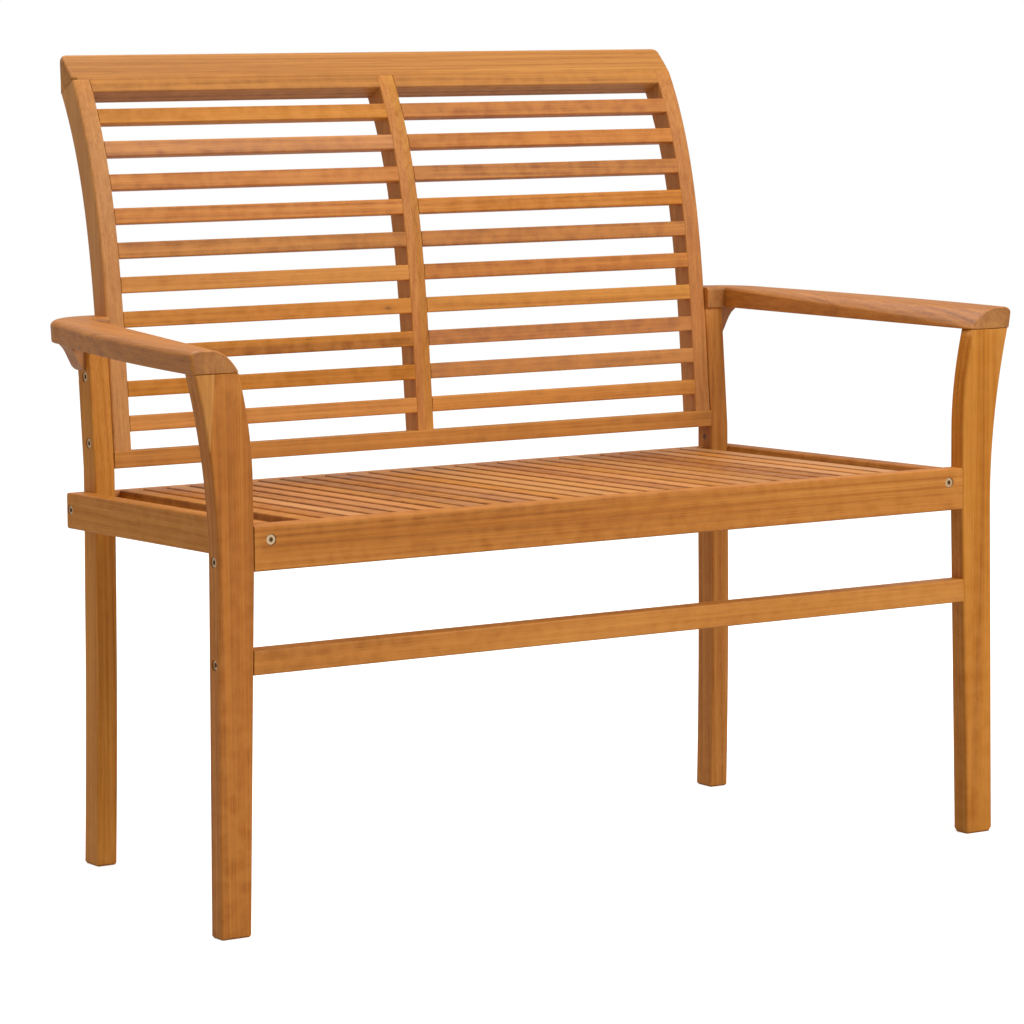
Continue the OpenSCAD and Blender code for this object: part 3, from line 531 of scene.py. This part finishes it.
# How dark, how yellow and how strong in colour the larger boards are, from 0 to 1. A leg that is
# glued from two strips has the main strip first.
SHADES = {
    "front_leg_left_eased": ((0.64, 0.1, 0.75), (0.14, 0.7, 0.5)),
    "front_leg_right_eased": ((0.32, 0.5, 0.9), (0.12, 0.6, 0.8)),
    "rear_leg_left_eased": ((0.0, 0.4, 0.9),),
    "rear_leg_right_eased": ((0.28, 0.3, 0.7),),
    "front_apron_eased": ((0.56, 0.3, 0.75),),
    "front_stretcher_eased": ((0.42, 0.4, 0.7),),
    "side_apron_left_eased": ((0.15, 0.4, 0.9),),
    "side_apron_right_eased": ((0.6, 0.2, 0.8),),
    "back_bottom_rail_eased": ((0.3, 0.8, 0.5),),
    "top_rail_eased": ((0.6, 0.95, 0.4),),
    "arm_left_rolled": ((0.6, 0.5, 1.0),),
    "arm_right_rolled": ((0.6, 0.6, 0.8),),
}

# Painted shade: the sides of the seat slats, down in the gaps between them, take a dark tone
SLAT_SIDE_PAINTED_SHADE = 0.95
# From where on a face looks sideways
SIDEWAYS = 0.7
# How far from the heart of its log a board is cut, and how far along the log
LOG_NEAR, LOG_FAR, LOG_RUN = 0.03, 0.13, 4


def board(form, name, nodes, along, slot, material, cuts=()):
    """Turns a form into a finished piece. Cuts are planes where strips of wood are glued."""
    for point, normal in cuts:
        cut(form, point, normal)
    bmesh.ops.recalc_face_normals(form, faces=form.faces)
    mesh = bpy.data.meshes.new(name)
    form.to_mesh(mesh)
    form.free()
    mesh.shade_smooth()
    mesh.set_sharp_from_angle(angle=SMOOTH_UP_TO)
    low = Vector([min(v.co[i] for v in mesh.vertices) for i in range(3)])
    high = Vector([max(v.co[i] for v in mesh.vertices) for i in range(3)])
    middle = (low + high) / 2
    across, through, way = AXES[along]
    place = mesh.attributes.new("grain_place", "FLOAT_VECTOR", "CORNER")
    tone = mesh.attributes.new("board_tone", "FLOAT_VECTOR", "FACE")
    run = mesh.attributes.new("grain_along", "FLOAT_VECTOR", "FACE")
    strips = {}
    for face in mesh.polygons:
        centre = face.center
        key = tuple((centre - Vector(point)).dot(Vector(normal)) > 0 for point, normal in cuts)
        sideways = abs(face.normal.x) > SIDEWAYS
        if name in SHADES and sideways:
            key = (False,) * len(cuts)
        if name.startswith("back_slats"):
            key += (centre.x > 0,)
        if key not in strips:
            chance = random.Random(name + str(key))
            angle, far_off = chance.uniform(0, 2 * math.pi), chance.uniform(LOG_NEAR, LOG_FAR)
            strips[key] = (
                Vector((math.cos(angle) * far_off, math.sin(angle) * far_off,
                        chance.uniform(-LOG_RUN, LOG_RUN))),
                SHADES[name][int(any(key))] if name in SHADES
                else (chance.random(), chance.random(), chance.random()))
        log, shade = strips[key]
        # Painted shade in the gaps between the seat slats: their sides take the dark tone
        if sideways and name.startswith("seat_slat"):
            shade = (SLAT_SIDE_PAINTED_SHADE, shade[1], shade[2])
        tone.data[face.index].vector = shade
        run.data[face.index].vector = way
        for corner in face.loop_indices:
            spot = mesh.vertices[mesh.loops[corner].vertex_index].co - middle
            spot = Vector((spot.dot(across), spot.dot(through), spot.dot(way)))
            place.data[corner].vector = spot + log
    piece = bpy.data.objects.new(name, mesh)
    bpy.context.scene.collection.objects.link(piece)
    mesh.materials.append(material)
    even = piece.modifiers.new("even_shading", "WEIGHTED_NORMAL")
    even.keep_sharp = True
    even.weight = SHADING_WEIGHT
    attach(piece, "root")
    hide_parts(*nodes)


def prism(outline, x0, x1):
    """A closed form whose side is an outline in Y and Z, reaching from x0 to x1."""
    form = bmesh.new()
    near = [form.verts.new((x0, y, z)) for y, z in outline]
    away = [form.verts.new((x1, y, z)) for y, z in outline]
    form.faces.new(near)
    form.faces.new(list(reversed(away)))
    for i in range(len(outline)):
        j = (i + 1) % len(outline)
        form.faces.new((near[j], near[i], away[i], away[j]))
    bmesh.ops.recalc_face_normals(form, faces=form.faces)
    return form


# ---------------------------------------------------------------------------------------------
# The curve of the back

# Where its front face starts, and how it leans and curls back above that
BACK_Y, LEAN, CURL, CURL_POWER = 150 * MM, 35 * MM, 46 * MM, 4.2
# The heights of the feet of the stiles, of the crest's lower front edge and of the top of its lip
FOOT_Z, CREST_Z, LIP_Z = 465.5 * MM, 898 * MM, 912 * MM
# The depth of a stile at its foot, and how much deeper it is under the crest
STILE_D, STILE_GROW = 29 * MM, 4 * MM
BOTTOM_RAIL_T, BOTTOM_RAIL_TOP = 12.5 * MM, 485.5 * MM
CURVE_STEPS = 40

# The ends of the top rail: how many cuts the rounding takes, how much of it is left at the lip,
# how far below the lip it still reaches as a share of the crest's height, and which faces count
# as ends and as undersides
CREST_CUTS, STILE_SHARE, UNDER_LIP = 7, 0.75, 0.02
IS_END, IS_UNDERSIDE = 0.5, -0.6


def rise(z):
    """How far up a height lies between the bottom rail and the crest, from 0 to 1."""
    return max(0.0, (z - FOOT_Z) / (CREST_Z - FOOT_Z))


def face_y(z):
    """Depth of the front face of the back at a height."""
    return BACK_Y + LEAN * rise(z) + CURL * rise(z) ** CURL_POWER


def face_angle(z):
    """The lean of the front face of the back at a height."""
    return math.atan((LEAN + CURL * CURL_POWER * rise(z) ** (CURL_POWER - 1)) / (CREST_Z - FOOT_Z))


def behind(z, distance):
    """The point at a distance behind the front face, square to it."""
    return (face_y(z) + distance * math.cos(face_angle(z)), z - distance * math.sin(face_angle(z)))


def stile_outline():
    """A stile from the side, with the rebate of its foot behind the bottom rail."""
    low = BOTTOM_RAIL_TOP
    heights = [low + (LIP_Z - low) * i / CURVE_STEPS for i in range(CURVE_STEPS + 1)]
    front = [(face_y(z), z) for z in heights]
    rear = [behind(z, STILE_D + STILE_GROW * rise(z) ** 2) for z in reversed(heights)]
    rear_foot = behind(FOOT_Z, STILE_D)[0]
    ledge = BACK_Y + BOTTOM_RAIL_T
    return front + rear + [(rear_foot, FOOT_Z), (ledge, FOOT_Z), (ledge, low)]


def round_crest_ends(form, edge_r, corner_r):
    """Rounds the edges at the ends of the top rail, down to the stiles, and its upper corners."""
    start = CREST_HI.x - corner_r
    for side in SIDES.values():
        for i in range(CREST_CUTS):
            reach = start + corner_r * math.sin(math.pi / 2 * i / CREST_CUTS)
            cut(form, (side * reach, 0, 0), (side, 0, 0))
    to_lip = Vector((0, face_y(LIP_Z), LIP_Z)) - Vector((0, CREST_HI.y, CREST_HI.z))
    moves = []
    for corner in form.verts:
        height = (corner.co.z - LIP_Z) / (CREST_HI.z - LIP_Z)
        past_corner = min(abs(corner.co.x) - start, corner_r)
        if past_corner <= 0 or height < -UNDER_LIP:
            continue
        height = max(height, 0.0)
        drop = corner_r - math.sqrt(corner_r ** 2 - past_corner ** 2)
        move = to_lip.normalized() * drop * height
        past_edge = past_corner - corner_r + edge_r
        if past_edge > 0:
            sides = [face.normal for face in corner.link_faces if abs(face.normal.x) < IS_END]
            sides = [normal for normal in sides if normal.z > IS_UNDERSIDE] or sides
            outward = sum(sides, Vector()).normalized()
            inset = edge_r - math.sqrt(max(0.0, edge_r ** 2 - past_edge ** 2))
            move -= outward * inset * min(1.0, STILE_SHARE + height)
        moves.append((corner, move))
    for corner, move in moves:
        corner.co += move


# ---------------------------------------------------------------------------------------------
# The arms

# Its thickness, its rise towards the rear, and its width at the front end
ARM_T, ARM_SLOPE, ARM_W = 25.5 * MM, 6.8 / 425, 59 * MM
# How far the outer edge comes in by its rear corner and bows out on the way, and that corner
ARM_IN, ARM_BOW, CORNER_R = 54 * MM, 11 * MM, 70 * MM
# Where its return starts in front of the rear leg, and where its inner edge meets the leg
RETURN_Y, LEG_FACE_X = 157.6 * MM, 452 * MM
# The drop of the rounded outer edge, and how far the outer side leans in below it
ARM_ROUND_H, LEAN_FRONT, LEAN_REAR = 7 * MM, 2.5 * MM, 0.8 * MM
# How deep the roll of the inner edge is at the front, how full it is, and how fast it fades
ROLL_DROP, ROLL_POWER, FADE_POWER = 24 * MM, 2.6, 0.9
# The eased lower edges, and how far their middle point lies from the sharp corner, as a share
ARM_EDGE, SOFT_CORNER = 1.5 * MM, 0.3
# How much the front end is drawn in above and below, as a share of how much its sides are
END_SQUEEZE = 0.3
# How an arm is divided: along its plan, round its section, and across its underside
FRONT_TURNS, PLAN_STEPS, REAR_TURNS = 5, 28, 16
ROLL_TURNS, CROWN_STEPS, OUTER_TURNS = 14, 4, 8
UNDER_POINTS = 0.66, 0.33


def arm_plan():
    """Points on the inner and outer edges of the right arm, from its front end to its return.

    With each pair comes how far the arm's end is drawn in there by its rounded corners.
    """
    front, rear, out, end_x = ARM_LO.y, ARM_HI.y, ARM_HI.x, ARM_LO.x
    corner = rear - CORNER_R
    inner_front = out - ARM_W
    round_r = bpy.context.scene.bench_sizes.arm_corner
    places = []
    for i in range(FRONT_TURNS):
        a = math.pi / 2 * i / FRONT_TURNS
        places.append((front + round_r * (1 - math.cos(a)), round_r * (1 - math.sin(a))))
    places += [(front + round_r + (corner - front - round_r) * i / PLAN_STEPS, 0.0)
               for i in range(PLAN_STEPS + 1)]
    pairs = []
    for y, inset in places:
        t = (y - front) / (corner - front)
        share = (y - front) / (RETURN_Y - front)
        pairs.append((
            Vector((inner_front + (LEG_FACE_X - inner_front) * share, y, 0)),
            Vector((out - ARM_IN * t + 4 * ARM_BOW * t * (1 - t), y, 0)), inset))
    start = pairs[-1][0]
    hub = Vector((pairs[-1][1].x - CORNER_R, corner, 0))
    bend = Vector((LEG_FACE_X, RETURN_Y, 0))
    stop = Vector((hub.x, RETURN_Y, 0))
    for i in range(1, REAR_TURNS + 1):
        a = math.pi / 2 * i / REAR_TURNS
        half = 2 * i / REAR_TURNS
        inner = start.lerp(bend, half) if half <= 1 else bend.lerp(stop, half - 1)
        pairs.append((inner, hub + Vector((math.cos(a), math.sin(a), 0)) * CORNER_R, 0.0))
    pairs.append((Vector((end_x, RETURN_Y, 0)), Vector((end_x, rear, 0)), 0.0))
    return pairs


def arm_section(width, roll_w, roll_h, round_w, lean):
    """Points round an arm's section, from its inner lower edge over the top and back below."""
    edge, soft = ARM_EDGE, ARM_EDGE * SOFT_CORNER
    side = ARM_T - roll_h
    points = [(edge, 0), (soft, soft), (0, min(edge, side))]
    for i in range(ROLL_TURNS + 1):
        share = i / ROLL_TURNS
        points.append((roll_w * share, side + roll_h * (1 - (1 - share) ** ROLL_POWER)))
    crown_end = width - round_w
    for i in range(1, CROWN_STEPS):
        points.append((roll_w + (crown_end - roll_w) * i / CROWN_STEPS, ARM_T))
    for i in range(OUTER_TURNS + 1):
        a = math.pi / 2 * i / OUTER_TURNS
        points.append((crown_end + round_w * math.sin(a), ARM_T - ARM_ROUND_H * (1 - math.cos(a))))
    foot = width - lean
    points += [(foot, edge), (foot - soft, soft), (foot - edge, 0)]
    points += [(foot * share, 0) for share in UNDER_POINTS]
    return points


def arm_form(side):
    """One arm, lofted over its plan, with the roll of its inner edge fading to the rear."""
    sizes = bpy.context.scene.bench_sizes
    form = bmesh.new()
    front = ARM_LO.y
    rows = []
    for inner, outer, inset in arm_plan():
        fade = min(1.0, (inner.y - front) / (RETURN_Y - front)) ** FADE_POWER
        roll_w = sizes.roll_front + (sizes.roll_rear - sizes.roll_front) * fade
        roll_h = min(ARM_T - ARM_EDGE, ROLL_DROP + (sizes.roll_rear - ROLL_DROP) * fade)
        lean = LEAN_FRONT + (LEAN_REAR - LEAN_FRONT) * fade
        width = (outer - inner).length
        way = (outer - inner) / width
        squeeze = inset * END_SQUEEZE
        section = arm_section(width - 2 * inset, roll_w - inset, roll_h, sizes.outer_round, lean)
        row = []
        for s, h in section:
            spot = inner + way * (s + inset)
            z = ARM_LO.z + ARM_SLOPE * (spot.y - front) + squeeze + h * (1 - 2 * squeeze / ARM_T)
            row.append(form.verts.new((spot.x * side, spot.y, z)))
        rows.append(row)
    for a, b in zip(rows, rows[1:]):
        for i in range(len(a)):
            j = (i + 1) % len(a)
            form.faces.new((a[i], a[j], b[j], b[i]))
    form.faces.new(rows[0])
    form.faces.new(list(reversed(rows[-1])))
    bmesh.ops.recalc_face_normals(form, faces=form.faces)
    return form


# ---------------------------------------------------------------------------------------------
# Operators

# How near to a stile's front face an edge is one of its front edges, how far the easing of the top
# rail stays off a stile, and how high above the lip it runs on over the stiles
STILE_FRONT_REACH = 2 * MM
STILE_PLAY, ABOVE_LIP = 0.5 * MM, 4 * MM


class BENCH_OT_legs(bpy.types.Operator):
    """Ease the four legs and show the strips that the flared tops are glued from"""

    bl_idname = "bench.legs"
    bl_label = "Legs"

    def execute(self, context):
        sizes = context.scene.bench_sizes
        wood = teak("teak_legs")
        for name, side in SIDES.items():
            glue = ((side * GLUE_TOP_X, 0, GLUE_TOP_Z),
                    (side * math.cos(GLUE_LEAN), 0, math.sin(GLUE_LEAN)))
            for node, radius, cuts in (("front_leg_" + name, sizes.leg_ease, [glue]),
                                       ("rear_leg_" + name, REAR_LEG_EASE, [])):
                form = form_of(node)
                ease(form, "Z", radius)
                board(form, node + "_eased", [node], "Z", "teak_frame", wood, cuts)
        return {"FINISHED"}


class BENCH_OT_rails(bpy.types.Operator):
    """Ease the aprons, the stretcher and the bearers under the seat"""

    bl_idname = "bench.rails"
    bl_label = "Aprons and rails"

    def execute(self, context):
        sizes = context.scene.bench_sizes
        wood = teak("teak_rails")
        for node in ("front_apron", "front_stretcher", "side_apron_left", "side_apron_right",
                     "rear_rail", "seat_ledger", "seat_batten"):
            along = "Y" if node.startswith("side") else "X"
            form = form_of(node)
            ease(form, along, sizes.rail_ease, least_area=LARGE)
            board(form, node + "_eased", [node], along, "teak_frame", wood)
        return {"FINISHED"}


class BENCH_OT_seat(bpy.types.Operator):
    """Ease the long edges of every seat slat"""

    bl_idname = "bench.seat"
    bl_label = "Seat slats"

    def execute(self, context):
        sizes = context.scene.bench_sizes
        wood = teak("teak_seat_slats")
        for number in range(1, SLATS + 1):
            node = "seat_slat_%02d" % number
            form = form_of(node)
            ease(form, "Y", sizes.slat_ease, least_area=LARGE)
            board(form, node + "_eased", [node], "Y", "teak_seat", wood)
        return {"FINISHED"}


class BENCH_OT_back(bpy.types.Operator):
    """Build the three curved stiles and ease the slats and rails of the back"""

    bl_idname = "bench.back"
    bl_label = "Back"

    def execute(self, context):
        sizes = context.scene.bench_sizes
        wood = teak("teak_back_boards")
        for name in ("left", "centre", "right"):
            node = "back_stile_" + name
            low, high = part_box(node)
            form = prism(stile_outline(), low.x, high.x)
            middle = (low.x + high.x) / 2

            def outer_front(spot):
                at_front = abs(spot.y - face_y(spot.z)) < STILE_FRONT_REACH
                return at_front and abs(spot.x) > abs(middle)

            if name != "centre":
                ease(form, "Z", sizes.stile_round, least_area=TINY, keep=outer_front)
            ease(form, "Z", sizes.back_ease, least_area=TINY)
            cuts = [((middle, 0, 0), (1, 0, 0))] if name == "centre" else []
            board(form, node + "_curved", [node], "Z", "teak_back", wood, cuts)
        inside, middle_half = STILE_LO.x, (STILE_HI.x - STILE_LO.x) / 2
        slats = teak("teak_back_slats")
        for level in range(1, LEVELS + 1):
            node = "back_slats_%02d" % level
            form = form_of(node)
            for corner in form.verts:
                near = min(max(abs(corner.co.x), middle_half), inside)
                corner.co.x = math.copysign(near, corner.co.x)
            ease(form, "X", sizes.back_ease, least_area=LARGE)
            board(form, node + "_eased", [node], "X", "teak_back", slats)
        form = form_of("back_bottom_rail")
        ease(form, "X", sizes.back_ease, least_area=LARGE)
        board(form, "back_bottom_rail_eased", ["back_bottom_rail"], "X", "teak_back", wood)

        outer_x = (STILE_LO.x + STILE_HI.x) / 2
        clear = middle_half + STILE_PLAY

        def clear_of_stiles(spot):
            beside = all(abs(spot.x - x) > clear for x in (0.0, outer_x, -outer_x))
            return beside or spot.z > LIP_Z + ABOVE_LIP

        form = form_of("top_rail")
        round_crest_ends(form, sizes.crest_round, sizes.crest_corner)
        ease(form, "X", sizes.back_ease, least_area=FAIR, keep=clear_of_stiles)
        crest = teak("teak_crest")
        board(form, "top_rail_eased", ["top_rail"], "X", "teak_back", crest)
        return {"FINISHED"}


class BENCH_OT_arms(bpy.types.Operator):
    """Loft the two arms with their rolled inner edges and ease the brackets under them"""

    bl_idname = "bench.arms"
    bl_label = "Arms"

    def execute(self, context):
        wood = teak("teak_arms")
        for name, side in SIDES.items():
            node = "arm_" + name
            board(arm_form(side), node + "_rolled", [node], "Y", "teak_arm", wood)
            node = "bracket_" + name
            form = form_of(node)
            ease(form, "Y", BRACKET_EASE)
            board(form, node + "_coved", [node], "Z", "teak_arm", wood)
        return {"FINISHED"}


class BENCH_OT_fittings(bpy.types.Operator):
    """Give the bolts, barrel nuts and screws their steel"""

    bl_idname = "bench.fittings"
    bl_label = "Bolts and screws"

    def execute(self, context):
        colours = context.scene.bench_colours
        bright = steel("weathered_steel", colours.steel, WEATHERED_ROUGH)
        rusted = steel("rusted_steel", colours.rust, RUSTED_ROUGH)
        for node, metal in (("bolts", bright), ("barrel_nuts", bright), ("wood_screws", rusted)):
            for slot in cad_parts[node].material_slots:
                slot.material = metal
        return {"FINISHED"}


# The camera: its place, where it looks and what is right of it. Its sensor in millimetres, its focal
# length in pixels of a picture of that width, and the nearest and farthest it sees
CAMERA_SPOT = Vector((-2.6822, -4.1078, 0.9695))
CAMERA_WAY = Vector((0.54641, 0.82953, -0.11540))
CAMERA_RIGHT = Vector((0.83464588, -0.55074312, -0.00694836))
SENSOR, FOCAL_PIXELS, FRAME_PIXELS = 36.0, 4176.18, 1024
CLIP_NEAR, CLIP_FAR = 0.1, 60.0

FLOOR_R, FLOOR_SIDES = 9.0, 96
# The floor's two pale greys and its glow, as the camera sees it, and its grey for all other light
FLOOR_PALE, FLOOR_PALEST, FLOOR_GLOW, FLOOR_GREY = 0.84, 0.87, 0.60, 0.55
FLOOR_GRIT = (3.0, 3.0, 3.0)
WORLD_LIGHT = 0.50

# Each lamp's name, place, width and watts
LAMPS = (
    ("key", (1.5, -3.5, 2.7), 2.0, 104.0),
    ("top", (-0.2, 0.9, 3.6), 2.6, 82.0),
)
LAMP_AIM = Vector((0, 0, 0.5))


def grey(value):
    """A grey of one brightness."""
    return (value, value, value, 1.0)


class BENCH_OT_stage(bpy.types.Operator):
    """Set the pale floor, the soft lamps and the camera"""

    bl_idname = "bench.stage"
    bl_label = "Stage"

    def execute(self, context):
        scene = context.scene
        self.floor(scene)
        self.lamps(scene)
        self.camera(scene)
        scene.view_settings.view_transform = "Standard"
        return {"FINISHED"}

    def floor(self, scene):
        """A pale disc that keeps the bench's shadow."""
        form = bmesh.new()
        bmesh.ops.create_circle(form, cap_ends=True, segments=FLOOR_SIDES, radius=FLOOR_R)
        mesh = bpy.data.meshes.new("studio_floor")
        form.to_mesh(mesh)
        form.free()
        floor = bpy.data.objects.new("studio_floor", mesh)
        scene.collection.objects.link(floor)
        material, tree = new_finish("pale_floor")
        place = put(tree, "ShaderNodeTexCoord").outputs["Object"]
        grit = noise(tree, vcalc(tree, "MULTIPLY", place, FLOOR_GRIT))
        matt = put(tree, "ShaderNodeBsdfDiffuse",
                   {"Color": blend(tree, grit, grey(FLOOR_PALE), grey(FLOOR_PALEST))})
        glow = put(tree, "ShaderNodeEmission", {"Color": grey(1.0), "Strength": FLOOR_GLOW})
        both = put(tree, "ShaderNodeAddShader", {0: matt.outputs[0], 1: glow.outputs[0]})
        soft = put(tree, "ShaderNodeBsdfDiffuse", {"Color": grey(FLOOR_GREY)})
        seen = put(tree, "ShaderNodeLightPath").outputs["Is Camera Ray"]
        shown = put(tree, "ShaderNodeMixShader", {0: seen, 1: soft.outputs[0], 2: both.outputs[0]})
        put(tree, "ShaderNodeOutputMaterial", {"Surface": shown.outputs[0]})
        mesh.materials.append(material)

    def lamps(self, scene):
        """A white room and two soft lamps."""
        world = bpy.data.worlds.new("studio")
        scene.world = world
        world.use_nodes = True
        tree = world.node_tree
        tree.nodes.clear()
        path = put(tree, "ShaderNodeLightPath").outputs
        seen = calc(tree, "MAXIMUM", path["Is Camera Ray"], path["Is Transmission Ray"])
        light = put(tree, "ShaderNodeBackground", {"Color": grey(1.0), "Strength": WORLD_LIGHT})
        white = put(tree, "ShaderNodeBackground", {"Color": grey(1.0), "Strength": 1.0})
        both = put(tree, "ShaderNodeMixShader",
                   {0: seen, 1: light.outputs[0], 2: white.outputs[0]})
        put(tree, "ShaderNodeOutputWorld", {"Surface": both.outputs[0]})
        for name, spot, size, watts in LAMPS:
            lamp = bpy.data.lights.new(name, "AREA")
            lamp.shape = "DISK"
            lamp.size = size
            lamp.energy = watts
            holder = bpy.data.objects.new(name, lamp)
            scene.collection.objects.link(holder)
            holder.location = spot
            aim = LAMP_AIM - Vector(spot)
            holder.rotation_euler = aim.to_track_quat("-Z", "Y").to_euler()

    def camera(self, scene):
        """A long lens, seen from the front and a little to the left."""
        lens = bpy.data.cameras.new("front_view")
        lens.sensor_fit = "HORIZONTAL"
        lens.sensor_width = SENSOR
        lens.lens = SENSOR * FOCAL_PIXELS / FRAME_PIXELS
        lens.clip_start, lens.clip_end = CLIP_NEAR, CLIP_FAR
        way = CAMERA_WAY.normalized()
        right = (CAMERA_RIGHT - way * CAMERA_RIGHT.dot(way)).normalized()
        up = right.cross(way)
        turn = Matrix((right, up, -way)).transposed()
        holder = bpy.data.objects.new("front_view", lens)
        scene.collection.objects.link(holder)
        holder.matrix_world = Matrix.Translation(CAMERA_SPOT) @ turn.to_4x4()
        scene.camera = holder


STEPS = (BENCH_OT_stage, BENCH_OT_legs, BENCH_OT_rails, BENCH_OT_seat, BENCH_OT_back,
         BENCH_OT_arms, BENCH_OT_fittings)


class BENCH_PT_sidebar(bpy.types.Panel):
    """Lists the steps of the bench with its sizes and colours"""

    bl_label = "Garden Bench"
    bl_idname = "BENCH_PT_sidebar"
    bl_space_type = "VIEW_3D"
    bl_region_type = "UI"
    bl_category = "Bench"

    def draw(self, context):
        column = self.layout.column()
        for step in STEPS:
            column.operator(step.bl_idname)
        for group in (context.scene.bench_sizes, context.scene.bench_colours):
            box = column.box()
            for key in group.bl_rna.properties.keys():
                if key not in ("rna_type", "name"):
                    box.prop(group, key)


CLASSES = (BenchSizes, BenchColours, *STEPS, BENCH_PT_sidebar)


def register():
    for item in CLASSES:
        bpy.utils.register_class(item)
    bpy.types.Scene.bench_sizes = bpy.props.PointerProperty(type=BenchSizes)
    bpy.types.Scene.bench_colours = bpy.props.PointerProperty(type=BenchColours)


def unregister():
    del bpy.types.Scene.bench_colours
    del bpy.types.Scene.bench_sizes
    for item in reversed(CLASSES):
        bpy.utils.unregister_class(item)


def main():
    register()
    for step in STEPS:
        family, action = step.bl_idname.split(".")
        getattr(getattr(bpy.ops, family), action)()


if __name__ == "__main__":
    main()
